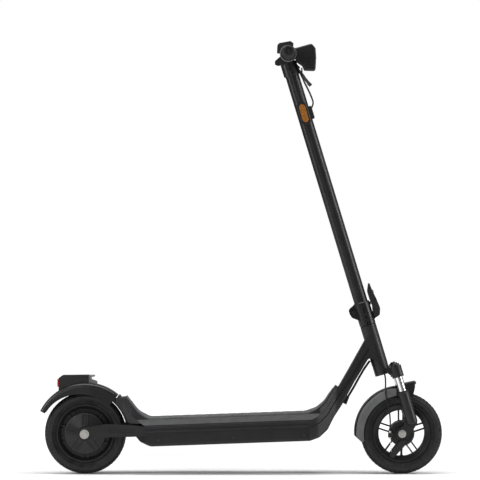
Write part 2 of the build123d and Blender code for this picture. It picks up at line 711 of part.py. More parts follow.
def rear_end():
    r, w, t = REAR_FENDER_R, FENDER_HALF_W, FENDER_WALL
    front_angle, tip_angle = 49.2, 153.6
    section = channel(r, 112)
    fender = Rot(0, -tip_angle, 0) * revolve(section, Axis.Y, revolution_arc=tip_angle - front_angle)
    fender -= Pos(-16, 0, -7) * rod(r - 27, -100, 100)
    # the liner carries the fender down behind the rear cover
    liner = side_solid(
        outline(
            (*behind(94.5, 105), 0), (*behind(110, 93), 0), (*behind(130, 60), 0), (*behind(134, 32), 0),
            (*behind(110, 32), 0), (*behind(70, 105), 0),
        ),
        -w + t, w - t,
    )
    liner -= REAR_AXLE * rod(TYRE_R + 3.5, -100, 100)
    save("rear_fender", REAR_AXLE * fender + (liner - rear_cover()))
    seat = REAR_AXLE * rod(r, -100, 100)
    box = side_solid(
        outline(
            (*behind(-81, 116), 0), (*behind(-81, 168), 5), (*behind(-70, 176), 10),
            (*behind(10, 177), 0), (*behind(10, 116), 0),
        ),
        -25, 25,
    )
    box -= seat
    cavity = REAR_AXLE * (Pos(-37, 0, 156) * Box(76, 44, 30) - rod(r + WALL, -100, 100))
    lens_seat = REAR_AXLE * Pos(-81, 0, 153) * Box(6, 42, 24)
    save("tail_light_housing", box - cavity - lens_seat)
    lens = REAR_AXLE * Pos(-81.5, 0, 153) * Box(7, 42, 24)
    save("tail_light_lens", fillet(lens.edges().filter_by(Axis.X), 4))
    hook = side_solid(
        outline(
            (*behind(10, 136), 0), (*behind(10, 177), 1.5), (*behind(29, 177), 1.5), (*behind(29, 172), 1.5),
            (*behind(19, 170), 2), (*behind(19, 164), 2), (*behind(36, 158), 3), (*behind(36, 136), 0),
        ),
        -9, 9,
    )
    save("fold_hook", hook - seat)

    # kickstand, folded back beside the left rail
    base_z = rail_z(KICK_X) - RAIL_H - 20
    root_y, tip_y = DECK_W / 2 - TRAY_INSET, DECK_W / 2 + 5.5
    bracket = Pos(KICK_X, (root_y + tip_y) / 2, base_z + 2) * Box(40, tip_y - root_y, 24)
    bracket += Pos(KICK_X, KICK_Y, base_z) * Box(14, 8, 8)
    pin = KICK_FRAME * post(KICK_PIN_R, -12.4, 13)
    along = KICK_FRAME * Rot(0, -90, 0)
    hub = KICK_FRAME * sleeve(9, KICK_PIN_R + FIT, -6, 6)
    stand = hub + along * post(KICK_BAR_R, 8.5, KICK_LEN)
    foot = along * (post(7.5, KICK_LEN - 24, KICK_LEN + 4) - post(KICK_BAR_R, 0, KICK_LEN))
    hub_space = KICK_FRAME * post(9.6, -6.4, 6.4)
    leg_space = along * post(8.2, 8, KICK_LEN + 10)
    save("kickstand_bracket", bracket - hub_space - leg_space - pin, pin)
    save("kickstand_leg", stand, foot)


# ---------------------------------------------------------------- steering, fork and fold
def fork():
    # crown and steerer
    crown = post(24, CROWN_LOW, HEAD_TUBE_LOW - GAP)
    bridge_d = LEG_D - 6
    bridge = Pos(bridge_d, 0, (CROWN_BRIDGE_LOW + CROWN_ARM_HIGH) / 2) * Box(
        40, 2 * LEG_Y, CROWN_ARM_HIGH - CROWN_BRIDGE_LOW
    )
    bridge = fillet(bridge.edges().filter_by(Axis.Y), 6)
    neck = Pos(8, 0, (CROWN_LOW + CROWN_ARM_HIGH) / 2) * Box(30, 44, CROWN_ARM_HIGH - CROWN_LOW)
    crown += bridge + neck
    for side in (-1, 1):
        at = Pos(LEG_D, side * LEG_Y, 0)
        crown += at * post(STANCHION_R + 5.7, CROWN_ARM_LOW, CROWN_ARM_HIGH)
        crown -= at * post(STANCHION_R, 100, 260)
    crown -= post(STEERER_R, 100, 260) + post(CABLE_MOUTH_R, 100, STEERER_LOW)
    steerer = sleeve(STEERER_R, STEERER_BORE_R, STEERER_LOW, FOLD_LOW + 38)
    save("fork_crown", STEER * crown, STEER * steerer)
    stanchions = []
    caps = []
    springs = []
    for side in (-1, 1):
        at = Pos(LEG_D, side * LEG_Y, 0)
        tube = post(STANCHION_R, STANCHION_LOW, CROWN_ARM_HIGH) - post(SPRING_BORE_R, 0, SPRING_TOP)
        stanchions.append(STEER * at * tube)
        cap = post(13, CROWN_ARM_HIGH, CROWN_ARM_HIGH + 4) + post(8, CROWN_ARM_HIGH + 4, CROWN_ARM_HIGH + 8)
        caps.append(STEER * at * chamfer(cap.faces().sort_by(Axis.Z)[-1].edges(), 1.5))
        coil_h = SPRING_TOP - LEG_BORE_LOW - 2 * SPRING_WIRE_R
        coil = Helix(pitch=coil_h / 12, height=coil_h, radius=SPRING_R)
        wire = sweep(Plane(origin=coil @ 0, z_dir=coil % 0) * Circle(SPRING_WIRE_R), path=coil)
        springs.append(STEER * at * Pos(0, 0, LEG_BORE_LOW + SPRING_WIRE_R) * wire)
    save("fork_stanchions", *stanchions)
    save("fork_springs", *springs)

    # lower half of the folding joint
    block = post(FOLD_BLOCK_R, FOLD_LOW + GAP, FOLD_SPLIT)
    block = chamfer(block.faces().sort_by(Axis.Z)[0].edges(), 2)
    cheeks = side_solid(
        outline(
            (FOLD_PIN_D - 9, FOLD_PIN_S + 9, 8.9),
            (FOLD_PIN_D + 9.4, FOLD_PIN_S + 7, 3),
            (-15, FOLD_SPLIT - 1, 0),
            (-15, FOLD_PIN_S - 32, 0),
            (FOLD_PIN_D - 9, FOLD_PIN_S - 12, 6),
        ),
        -18,
        18,
    )
    ear_slot = Pos(-19.8 - 20, 0, FOLD_PIN_S + 4) * Box(40, 2 * FOLD_EAR_GAP + 0.6, 34)
    block = block + cheeks - ear_slot
    lug_side = outline(
        (15, LATCH_PIN_S + 13, 0),
        (LATCH_PIN_D + 1, LATCH_PIN_S + 9, 5),
        (LATCH_PIN_D + 6, LATCH_PIN_S, 4),
        (LATCH_PIN_D, LATCH_PIN_S - 8, 4),
        (15, LATCH_PIN_S - 17, 0),
    )
    lug = side_solid(lug_side, -8, 8)
    block += lug
    block -= post(STEERER_R, 300, FOLD_LOW + 38)
    block -= Pos(FOLD_PIN_D, 0, FOLD_PIN_S) * rod(FOLD_PIN_R, -60, 60)
    block -= Pos(LATCH_PIN_D, 0, LATCH_PIN_S) * rod(LATCH_PIN_R, -60, 60)
    clamp_slot = Pos(0, -FOLD_BLOCK_R, 368) * Box(2, 24, 52)
    block -= clamp_slot
    screws = []
    for s in (359, 377.5):
        block -= Pos(2, 0, s) * rod(4.6, -FOLD_BLOCK_R - 5, -FOLD_BLOCK_R + 3.5)
        head = rod(4.4, -FOLD_BLOCK_R - 0.5, -FOLD_BLOCK_R + 3.5)
        screws.append(STEER * Pos(2, 0, s) * (head - Pos(0, -FOLD_BLOCK_R - 0.5, 0) * hexagon(2.4, -2, 2)))
    save("fold_block", STEER * block)
    pins = [
        STEER * Pos(FOLD_PIN_D, 0, FOLD_PIN_S) * rod(FOLD_PIN_R, -18, 18),
        STEER * Pos(LATCH_PIN_D, 0, LATCH_PIN_S) * rod(LATCH_PIN_R, -LATCH_HALF_W, LATCH_HALF_W),
    ]
    save("steering_hardware", *pins, *screws, *caps)

    # latch lever and its safety button
    lever = side_solid(
        outline(
            (41, 473, 2.5), (27.6, 443, 14), (27.6, 417, 20), (29.5, 396, 10), (26.6, 383, 3), (26.6, 364, 3),
            (32, 359.5, 3), (43.5, 363, 7), (50.5, 383, 16), (47.5, 416, 40), (43.5, 436, 30), (42, 454, 20),
        ),
        -LATCH_HALF_W, LATCH_HALF_W,
    )
    lever -= Pos(LATCH_PIN_D, 0, LATCH_PIN_S) * Box(40, 16.6, 28)
    lever -= Pos(LATCH_PIN_D, 0, LATCH_PIN_S) * rod(LATCH_PIN_R + FIT, -60, 60)
    lever -= Pos(44 - BUTTON_TRAVEL / 2, 0, BUTTON_S) * Box(12.4 + BUTTON_TRAVEL, 10.6, 12.6)
    lever &= Pos(0, 0, 420) * Box(200, 2 * LATCH_HALF_W - 0.4, 300)
    save("latch_lever", STEER * lever)
    button = Pos(42.4, 0, BUTTON_S) * Box(8, 10, 12)
    button = fillet(button.faces().sort_by(Axis.X)[-1].edges(), 1.2)
    save("latch_button", STEER * button)


def lower_fork():
    legs = []
    for side in (-1, 1):
        at = Pos(LEG_D, side * LEG_Y, 0)
        leg = at * post(LEG_R, LEG_FOOT, LEG_TOP)
        leg = chamfer(leg.faces().sort_by(Axis.Z)[0].edges(), 4)
        y_in, y_out = sorted((side * DROPOUT_IN_Y, side * DROPOUT_OUT_Y))
        plate = side_solid(
            outline(
                (LEG_D + 12, LEG_FOOT + 26, 6), (LEG_D + 16, LEG_FOOT - 2, 10), (20, -14, 20), (-13, -14, 13),
                (-15, 14, 13), (14, 22, 10), (LEG_D - 14, LEG_FOOT + 40, 6),
            ),
            y_in, y_out,
        )
        leg += plate
        leg -= Pos(AXLE_D, 0, AXLE_S) * rod(FRONT_AXLE_R, -100, 100)
        tab = outline(
            (12, FENDER_MOUNT_S + 7, 3),
            (30, FENDER_MOUNT_S + 7, 0),
            (30, FENDER_MOUNT_S - 7, 0),
            (12, FENDER_MOUNT_S - 7, 3),
        )
        leg += side_solid(tab, *sorted((side * FENDER_HALF_W, side * (LEG_Y - 8))))
        leg -= at * post(STANCHION_R + FIT, LEG_BORE_LOW, LEG_TOP + 1)
        legs.append(STEER * leg)
    seals = []
    for side in (-1, 1):
        seal = sleeve(LEG_R - 0.5, STANCHION_R + FIT, LEG_TOP, LEG_TOP + 4)
        seal += sleeve(LEG_R - 3, STANCHION_R + FIT, LEG_TOP + 4, LEG_TOP + 7)
        seals.append(STEER * Pos(LEG_D, side * LEG_Y, 0) * seal)
    save("fork_legs", *legs, *seals)

    # front fender: a channel round the tyre with a straight visor ahead of the fork
    r, w, t = FRONT_FENDER_R, FENDER_HALF_W, FENDER_WALL
    section = channel(r, 110)
    front_angle, rear_angle = 78.0, 192.0
    arch = Rot(0, -rear_angle, 0) * revolve(section, Axis.Y, revolution_arc=rear_angle - front_angle)
    arch -= Pos(3, 0, -3) * rod(119, -100, 100)
    arch -= Pos(-152, 0, -40) * Rot(0, 42, 0) * Box(60, 200, 60)
    visor = side_solid(
        outline((1, 128, 0), (26, 116, 0), (32, 107, 4), (45, 159, 3), (-18, 145.5, 0), (-4, 138, 0)),
        -w,
        w,
    )
    visor_plan = outline((-38, -w, 0), (45, -w, 12), (45, w, 12), (-38, w, 0))
    visor &= extrude(visor_plan, amount=400)
    hollow = side_solid(
        outline((-13, 76, 0), (42, 76, 0), (42.5, 155.6, 3), (0, 146.6, 0), (-6, 135, 0)),
        -w + t,
        w - t,
    )
    visor = visor - hollow - rod(r - t - 0.01, -w + t, w - t)
    save("front_fender", FRONT_AXLE * (arch + visor - rod(119, -w + t, w - t)))

    # axle, nuts, brake backing plate with its arm
    axle = FRONT_AXLE * rod(FRONT_AXLE_R, -DROPOUT_OUT_Y - 13, DROPOUT_OUT_Y + 13)
    nuts = []
    for side in (-1, 1):
        washer = ring(12, FRONT_AXLE_R, DROPOUT_OUT_Y, DROPOUT_OUT_Y + 2)
        nut = hexagon(9, DROPOUT_OUT_Y + 2, DROPOUT_OUT_Y + 10) - rod(FRONT_AXLE_R, 0, 200)
        nuts.append(FRONT_AXLE * mirrored(side) * (washer + nut))
    spacers = [
        FRONT_AXLE * ring(9, FRONT_AXLE_R, HUB_HIGH_Y + GAP, DROPOUT_IN_Y),
        FRONT_AXLE * ring(9, FRONT_AXLE_R, -DROPOUT_IN_Y, HUB_LOW_Y - 10),
    ]
    save("front_axle_set", axle, *nuts, *spacers)
    out_y = -DROPOUT_IN_Y
    plate = ring(HUB_R, 9, out_y + 15, HUB_LOW_Y - GAP)
    plate = chamfer(plate.faces().sort_by(Axis.Y)[0].edges().sort_by(SortBy.LENGTH)[-1:], 3)
    plate -= ring(HUB_R - 6, 15, out_y + 14, out_y + 18)
    for i in range(12):
        vane = Pos((HUB_R + 10) / 2, out_y + 18.5, 0) * Box(HUB_R - 18, 6, 2.6)
        plate += Rot(0, i * 30, 0) * vane
    plate += ring(15, 9, out_y + 12, out_y + 17)
    plate -= rod(9, -80, 0)
    arm_axle = Pos(ARM_PIVOT[0], 0, ARM_PIVOT[1])
    plate += arm_axle * rod(8, out_y + 9.6, out_y + 20)
    barrel_x, barrel_z = BARREL[0] - FRONT_AXLE_X, BARREL[1] - AXLE_Z
    boss = Pos(barrel_x, BRAKE_Y, barrel_z + 8) * Box(13, 8, 8)
    web = side_solid(outline((-42, -12, 0), (-42, 2, 0), (-26, 2, 0), (-26, -10, 0)), out_y + 6, out_y + 20)
    plate += boss + web
    plate -= arm_axle * rod(4 + FIT, -80, 0) + Pos(barrel_x, BRAKE_Y, 0) * post(3, -60, 60)
    plate -= ring(HUB_R + 60, HUB_R - 0.01, HUB_LOW_Y - 0.5, HUB_LOW_Y + 5)
    save("brake_plate", FRONT_AXLE * plate)
    barrel = sleeve(3, 1.2, barrel_z - 6, barrel_z + 13) + sleeve(4.5, 1.2, barrel_z + 12, barrel_z + 18)
    barrel = FRONT_AXLE * Pos(barrel_x, BRAKE_Y, 0) * barrel
    arm_y = (out_y + 4.4, out_y + 9.4)
    arm = side_solid(
        outline(
            (ARM_PIVOT[0] + 8, ARM_PIVOT[1] + 7, 7),
            (ARM_PIVOT[0] + 8, ARM_PIVOT[1] - 8, 7),
            (-25, -74, 5),
            (-37, -72, 6),
            (-36, -60, 6),
            (ARM_PIVOT[0] - 10, ARM_PIVOT[1] + 2, 7),
        ),
        *arm_y,
    )
    arm += arm_axle * rod(4, arm_y[0], HUB_LOW_Y - 3)
    arm += Pos(-31.5, 0, -66) * rod(4, arm_y[0] - 2, arm_y[1])
    save("brake_arm", FRONT_AXLE * arm)
    top = to_world(5, -2, 206)
    mouth = to_world(5, -5, 178)
    front_cable = [
        (top.X, top.Y, top.Z), (mouth.X, mouth.Y, mouth.Z), (439.5, -16, 275), (437.5, -42, 256),
        (441, -47, 230), (449, -43, 197), (BARREL[0], BRAKE_Y, 166), (BARREL[0], BRAKE_Y, BARREL[1] + 18),
    ]
    save("front_brake_cable", cable(front_cable, CABLE_R), barrel)


# ---------------------------------------------------------------- stem and cockpit
def stem():
    collar = post(FOLD_BLOCK_R, FOLD_SPLIT + GAP, FOLD_HIGH)
    collar = chamfer(collar.faces().sort_by(Axis.Z)[-1].edges(), 2)
    ear = side_solid(
        outline(
            (FOLD_PIN_D - 11.5, FOLD_PIN_S - 11.5, 11.4),
            (FOLD_PIN_D - 11.5, FOLD_PIN_S + 14, 10),
            (-22, FOLD_HIGH - 1, 3),
            (-8, FOLD_HIGH - 1, 0),
            (-8, FOLD_SPLIT + GAP, 0),
            (FOLD_PIN_D + 11.5, FOLD_SPLIT + GAP, 0),
            (FOLD_PIN_D + 11.5, FOLD_PIN_S - 11.5, 11.4),
        ),
        -FOLD_EAR_GAP,
        FOLD_EAR_GAP,
    )
    collar += ear + Pos(24, 0, 406) * Box(7.2, 14, 9)
    collar -= Pos(FOLD_PIN_D, 0, FOLD_PIN_S) * rod(FOLD_PIN_R + FIT, -60, 60)
    save("fold_collar", STEER * collar)
    top = BAR_HEIGHT_S - 26
    tube = sleeve(STEM_R, STEM_R - STEM_WALL, FOLD_HIGH, top)
    cable_hole = Pos(STEM_R, 0, PORT_S) * Box(12, 18, 26)
    save("stem_tube", STEER * (tube - cable_hole))

    head = post(STEM_R + 4, top - 36, top + 6) - post(STEM_R, top - 60, top)
    head = chamfer(head.faces().sort_by(Axis.Z)[0].edges().sort_by(SortBy.LENGTH)[-1:], 2)
    clamp = Pos(BAR_D, 0, BAR_HEIGHT_S) * rod(19, -34, 34)
    clamp = chamfer(clamp.edges().filter_by(GeomType.CIRCLE), 1.5)
    web = Pos(BAR_D, 0, top + 12) * Box(34, 44, 24)
    web = fillet(web.edges().filter_by(Axis.Z), 8)
    head += clamp + web
    head -= Pos(BAR_D, 0, BAR_HEIGHT_S) * rod(BAR_R, -100, 100)
    for d, s in HEAD_SCREWS:
        head -= Pos(d, 0, s - HEAD_SCREWS[0][1] + top - 28) * rod(3.2, -STEM_R - 9, -STEM_R - 1.2)
    save("stem_head", STEER * head)

    half = BAR_W / 2
    bar = ring(BAR_R, BAR_R - 2, -half + 4, half - 4)
    save("handlebar", BAR_AXLE * bar)
    grips = []
    for side in (-1, 1):
        grip = turned(
            (BAR_R, half - GRIP_LEN, 0),
            (GRIP_R + 3, half - GRIP_LEN, 1),
            (GRIP_R + 3, half - GRIP_LEN + 4, 1),
            (GRIP_R, half - GRIP_LEN + 7, 2),
            (GRIP_R - 0.8, half - GRIP_LEN / 2, 200),
            (GRIP_R, half - 10, 3),
            (GRIP_R + 1.5, half - 6, 1),
            (GRIP_R, half, 3),
            (0.01, half, 0),
            (0.01, half - 4, 0),
            (BAR_R, half - 4, 0),
        )
        for i in range(14):
            grip -= ring(GRIP_R + 4, GRIP_R - 1.2, half - GRIP_LEN + 16 + i * 7, half - GRIP_LEN + 18 + i * 7)
        grips.append(BAR_AXLE * mirrored(side) * grip)
    save("grips", *grips)

    # throttle on the right, with its thumb paddle
    housing = ring(THROTTLE_R - 1, BAR_R, THROTTLE_Y + 6, THROTTLE_Y + 24)
    housing += ring(THROTTLE_R - 3, BAR_R, THROTTLE_Y - 12, THROTTLE_Y - 6)
    housing = chamfer(housing.faces().sort_by(Axis.Y)[-1].edges().sort_by(SortBy.LENGTH)[-1:], 4)
    housing += ring(BAR_R + 2.5, BAR_R, THROTTLE_Y - 12, THROTTLE_Y + 10)
    bezel = ring(THROTTLE_R, THROTTLE_R - 3, THROTTLE_Y - 12, THROTTLE_Y - 9)
    save("throttle_housing", BAR_AXLE * housing, BAR_AXLE * bezel)
    paddle = ring(THROTTLE_R - 2.5, BAR_R + 2.5 + GAP, THROTTLE_Y - 6 + GAP, THROTTLE_Y + 6 - GAP)
    thumb_side = outline(
        (-18, 7, 0),
        (-45, 3.5, 3),
        (-51.5, -5, 4),
        (-46, -14, 5),
        (-24, -22, 8),
        (-12, -21, 0),
    )
    thumb = side_solid(thumb_side, THROTTLE_Y - 6 + GAP, THROTTLE_Y + 6 - GAP)
    paddle += Rot(0, -HEAD_ANGLE, 0) * thumb - rod(THROTTLE_R - 6, -300, 300)
    save("throttle_paddle", BAR_AXLE * paddle)

    # brake perch and lever on the left
    perch = rod(BAR_R + 6, PERCH_Y - 14, PERCH_Y + 14)
    body = Pos(28, PERCH_Y, 0) * Box(44, 26, 18)
    body = fillet(body.edges().filter_by(Axis.Z), 6)
    boss = Pos(22, PERCH_Y - 12, 0) * Box(12, 8, 12)
    slot = Pos(44, PERCH_Y + 2, 0) * Box(36, 60, 9)
    pivot = Pos(LEVER_U, PERCH_Y + 4, 0) * post(3, -9, 9)
    perch += LEVER_FRAME * (body + boss)
    perch -= LEVER_FRAME * (slot + pivot)
    perch -= rod(BAR_R, -300, 300)
    barrel = Pos(22, 0, 0) * rod(3.8, PERCH_Y - 32, PERCH_Y - 16)
    save("brake_perch", BAR_AXLE * perch, BAR_AXLE * LEVER_FRAME * pivot, BAR_AXLE * LEVER_FRAME * barrel)
    tip = LEVER_REACH
    blade = outline(
        (LEVER_U - 7, PERCH_Y - 6, 5),
        (LEVER_U + 7, PERCH_Y - 8, 5),
        (LEVER_U + 30, PERCH_Y + 20, 14),
        (LEVER_U + 41, PERCH_Y + 63, 60),
        (tip, PERCH_Y + 102, 4),
        (tip - 1, PERCH_Y + 110, 6),
        (tip - 10, PERCH_Y + 110, 6),
        (LEVER_U + 31, PERCH_Y + 64, 60),
        (LEVER_U + 18, PERCH_Y + 24, 14),
        (LEVER_U - 4, PERCH_Y + 13, 5),
    )
    lever = extrude(Plane.XY.offset(-4.2) * blade, amount=8.4)
    lever -= Pos(LEVER_U, PERCH_Y + 4, 0) * post(3 + FIT, -20, 20)
    lever += Pos(tip - 5.5, PERCH_Y + 104, 0) * post(6.5, -5.4, 5.4)
    save("brake_lever", BAR_AXLE * LEVER_FRAME * lever)


def cockpit():
    """Display on top of the bar, and the headlight in front of it."""
    clamp_space = BAR_AXLE * rod(19 + GAP, -60, 60)
    head_space = BAR_AXLE * Pos(0, 0, -14) * Box(34 + 2 * GAP, 44 + 2 * GAP, 24 + 2 * GAP)
    head_space += BAR_AXLE * Pos(-BAR_D, 0, 0) * post(STEM_R + 4 + GAP, -80, -20 + GAP)
    display_side = outline(
        (*from_bar(-32, 8.7), 3),
        (*from_bar(-31, 31.7), 3),
        (*from_bar(-25, 37.7), 4),
        (*from_bar(9, 43.7), 4),
        (*from_bar(18, 36.7), 3),
        (*from_bar(16, 19.7), 3),
        (*from_bar(2, 10.7), 0),
    )
    window_side = outline(
        (*from_bar(-41, 6.7), 0),
        (*from_bar(-41, 34.3), 0),
        (*from_bar(-25, 37.7), 0),
        (*from_bar(9, 43.7), 0),
        (*from_bar(29, 47.3), 0),
        (*from_bar(29, 6.7), 0),
    )
    window = Pos(BAR_AT.X - 5, 0, BAR_AT.Z + 40.8) * Rot(0, -10, 0) * Box(22, 54, 3.2)
    display = side_solid(display_side, -34, 34) - clamp_space - window - POWER_AT * post(5.4, -3.2, 12)
    save("display_housing", display)
    save("display_screen", window & side_solid(window_side, -40, 40))
    save("power_button", POWER_AT * post(5, -1, 1.6))
    lamp_side = outline(
        (*from_bar(19, 21.7), 3),
        (*from_bar(73, 36.7), 8),
        (*from_bar(85, 22.7), 8),
        (*from_bar(87, -5.3), 10),
        (*from_bar(85, -45.3), 6),
        (*from_bar(51, -44.3), 6),
        (*from_bar(45, -30.3), 6),
        (*from_bar(26, -17.3), 4),
    )
    lamp = side_solid(lamp_side, -31, 31)
    front_edges = lamp.edges().filter_by(lambda e: abs(e.center().Y) > 30.9 and e.center().X > BAR_AT.X + 64)
    lamp = fillet(front_edges, 5)
    lens_axle = Pos(BAR_AT.X + 81, 0, BAR_AT.Z - 7.3) * Rot(0, 90, 0)
    lamp -= lens_axle * post(LAMP_LENS_R, -22, 30)
    bracket_side = outline((17.1, 6, 0), (34, 0, 0), (36, -18, 0), (17.1, -16, 0))
    ahead = Pos(BAR_AT.X + 104, 0, BAR_AT.Z) * Box(110, 80, 150)
    bracket = BAR_AXLE * side_solid(bracket_side, -12, 12) - clamp_space - head_space - ahead
    save("headlight_housing", lamp - head_space + bracket)
    bowl = lens_axle * (post(LAMP_LENS_R, -22, 0) - Pos(0, 0, 6) * Sphere(20))
    save("headlight_lens", lens_axle * post(LAMP_LENS_R, 0, 4))
    save("headlight_reflector", bowl, lens_axle * Pos(0, 0, -11.7) * Box(6, 6, 3.5))


def details():
    """Side reflectors, the cable port, and the cables at the cockpit and under the down tube."""
    amber = []
    bezels = []
    for side in (-1, 1):
        pad_side = Rot(0, 0, 90) * SlotCenterToCenter(50, 27)
        pad = extrude(Plane.XZ.offset(-STEM_R + 8) * pad_side, amount=-11.5)
        pad -= post(STEM_R, -100, 100)
        shape_in = Rot(0, 0, 90) * SlotCenterToCenter(37, 19)
        pocket = extrude(Plane.XZ.offset(-STEM_R - 1.5) * shape_in, amount=-6)
        insert = extrude(Plane.XZ.offset(-STEM_R - 1.5) * shape_in, amount=-2.8)
        at = STEER * Pos(0, 0, REFLECTOR_S) * Rot(0, 0, 0 if side == 1 else 180)
        bezels.append(at * (pad - pocket))
        amber.append(at * insert)
    port = Pos(STEM_R + 1, 0, PORT_S) * Box(14, 22, 40)
    port = fillet(port.faces().sort_by(Axis.X)[-1].edges(), 4)
    port -= post(STEM_R, PORT_S - 60, PORT_S + 60)
    ends = [to_world(STEM_R - 3, y, PORT_S + 2) for y in (-5, 5)]
    exits = [to_world(STEM_R + 12, y, PORT_S + 14) for y in (-5, 5)]
    control = [
        (184, -14, 1236), (184.5, -14, 1222), (188, -10, 1200), (201, -6, 1175), (212, -5, 1152),
        (exits[0].X + 1, -5, 1131), (exits[0].X - 3, -5, exits[0].Z), (ends[0].X, -5, ends[0].Z),
    ]
    brake = [
        (BARREL_TOP.X, BARREL_TOP.Y, BARREL_TOP.Z), (BARREL_TOP.X, BARREL_TOP.Y - 26, BARREL_TOP.Z),
        (175, 34, 1234), (184, 16, 1212), (199, 7, 1182), (212, 5, 1155),
        (exits[1].X + 1.5, 5, 1131), (exits[1].X - 3, 5, exits[1].Z), (ends[1].X, 5, ends[1].Z),
    ]
    control_tube = cable(control, CABLE_R)
    brake_tube = cable(brake, CABLE_R)
    save("cockpit_cables", control_tube, brake_tube)
    save("stem_trim", STEER * port - control_tube - brake_tube, *bezels, *amber)
    harness = cable(HARNESS, HARNESS_R)
    boot = Pos(*HARNESS[0]) * Rot(0, 30, 0) * (Pos(0, 0, 12) * Cone(9, 5.5, 24)) - harness
    save("wiring_harness", harness, boot - neck_block())


def main():
    front_wheel()
    rear_wheel()
    frame()
    deck()
    rear_end()
    fork()
    lower_fork()
    stem()
    cockpit()
    details()


main()
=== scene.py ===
import bmesh
import bpy
from math import atan2, cos, pi, radians, sin
from mathutils import Matrix, Vector


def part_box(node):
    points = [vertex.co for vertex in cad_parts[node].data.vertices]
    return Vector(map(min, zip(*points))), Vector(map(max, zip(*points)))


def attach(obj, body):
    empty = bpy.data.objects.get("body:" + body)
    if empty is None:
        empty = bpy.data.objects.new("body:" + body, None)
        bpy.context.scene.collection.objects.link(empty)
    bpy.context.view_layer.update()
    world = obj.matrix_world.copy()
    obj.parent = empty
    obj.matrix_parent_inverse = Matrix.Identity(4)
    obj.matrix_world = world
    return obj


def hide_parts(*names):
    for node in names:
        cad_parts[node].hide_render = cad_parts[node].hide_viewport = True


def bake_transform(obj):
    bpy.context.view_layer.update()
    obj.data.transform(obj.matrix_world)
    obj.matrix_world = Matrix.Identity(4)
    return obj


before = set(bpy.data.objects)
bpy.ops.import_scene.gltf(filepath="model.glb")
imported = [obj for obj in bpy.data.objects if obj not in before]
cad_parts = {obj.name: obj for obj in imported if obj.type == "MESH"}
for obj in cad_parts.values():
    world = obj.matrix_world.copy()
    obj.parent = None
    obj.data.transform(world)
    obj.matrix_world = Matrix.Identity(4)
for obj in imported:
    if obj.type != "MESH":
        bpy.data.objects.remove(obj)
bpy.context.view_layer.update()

scene = bpy.context.scene

# ---------------------------------------------------------------- camera, floor and light
# A long lens looks level at the scooter's right side from ten metres away.
# The floor is one round pale sheet that fades into a white surround.
camera_distance = 10.0
view_width = 1.464
camera_height = 0.712
lens_data = bpy.data.cameras.new("studio_camera")
lens_data.sensor_width = 36.0
lens_data.lens = 36.0 * camera_distance / view_width
lens_data.clip_end = 60.0
camera = bpy.data.objects.new("studio_camera", lens_data)
camera.location = (-0.004, -camera_distance, camera_height)
camera.rotation_euler = (radians(90), 0, 0)
scene.collection.objects.link(camera)
scene.camera = camera
scene.view_settings.view_transform = "Standard"
scene.view_settings.look = "None"
scene.view_settings.exposure = 0.0

floor_mesh = bmesh.new()
bmesh.ops.create_circle(floor_mesh, cap_ends=True, radius=30.0, segments=96)
floor_data = bpy.data.meshes.new("studio_floor")
floor_mesh.to_mesh(floor_data)
floor_mesh.free()
studio_floor = bpy.data.objects.new("studio_floor", floor_data)
scene.collection.objects.link(studio_floor)
floor_paint = bpy.data.materials.new("studio_floor_paint")
floor_paint.use_nodes = True
floor_nodes, floor_links = floor_paint.node_tree.nodes, floor_paint.node_tree.links
floor_shader = floor_nodes["Principled BSDF"]
floor_shader.inputs["Roughness"].default_value = 0.6
floor_shader.inputs["Specular IOR Level"].default_value = 0.2
floor_shader.inputs["Emission Color"].default_value = (1, 1, 1, 1)
floor_coords = floor_nodes.new("ShaderNodeTexCoord")
reach = floor_nodes.new("ShaderNodeVectorMath")
reach.operation = "LENGTH"
floor_links.new(floor_coords.outputs["Object"], reach.inputs[0])


def by_reach(start, end, near, far, socket):
    """Feeds a floor value that goes from near to far between two distances from the middle."""
    ramp = floor_nodes.new("ShaderNodeMapRange")
    for name, value in (("From Min", start), ("From Max", end), ("To Min", near), ("To Max", far)):
        ramp.inputs[name].default_value = value
    floor_links.new(reach.outputs["Value"], ramp.inputs["Value"])
    floor_links.new(ramp.outputs["Result"], socket)


seen = floor_nodes.new("ShaderNodeLightPath")
seen_glow = floor_nodes.new("ShaderNodeMath")
seen_glow.operation = "MULTIPLY"
floor_links.new(seen.outputs["Is Camera Ray"], seen_glow.inputs[0])
by_reach(0.9, 2.6, 0.0, 0.95, seen_glow.inputs[1])
floor_links.new(seen_glow.outputs["Value"], floor_shader.inputs["Emission Strength"])
by_reach(1.0, 3.2, 0.9, 0.3, floor_shader.inputs["Base Color"])
studio_floor.data.materials.append(floor_paint)

world = bpy.data.worlds.new("studio_world")
scene.world = world
world.use_nodes = True
world_nodes, world_links = world.node_tree.nodes, world.node_tree.links
world_nodes["Background"].inputs["Color"].default_value = (1, 1, 1, 1)
surround = world_nodes.new("ShaderNodeMapRange")
surround.inputs["To Min"].default_value = 0.26
surround.inputs["To Max"].default_value = 1.0
world_seen = world_nodes.new("ShaderNodeLightPath")
world_links.new(world_seen.outputs["Is Camera Ray"], surround.inputs["Value"])
world_links.new(surround.outputs["Result"], world_nodes["Background"].inputs["Strength"])


def softbox(name, place, aim, size, power):
    """A rectangular soft light at place, turned to face aim."""
    data = bpy.data.lights.new(name, "AREA")
    data.shape = "RECTANGLE"
    data.size, data.size_y = size
    data.energy = power
    light = bpy.data.objects.new(name, data)
    light.location = place
    light.rotation_euler = (Vector(aim) - Vector(place)).to_track_quat("-Z", "Y").to_euler()
    scene.collection.objects.link(light)


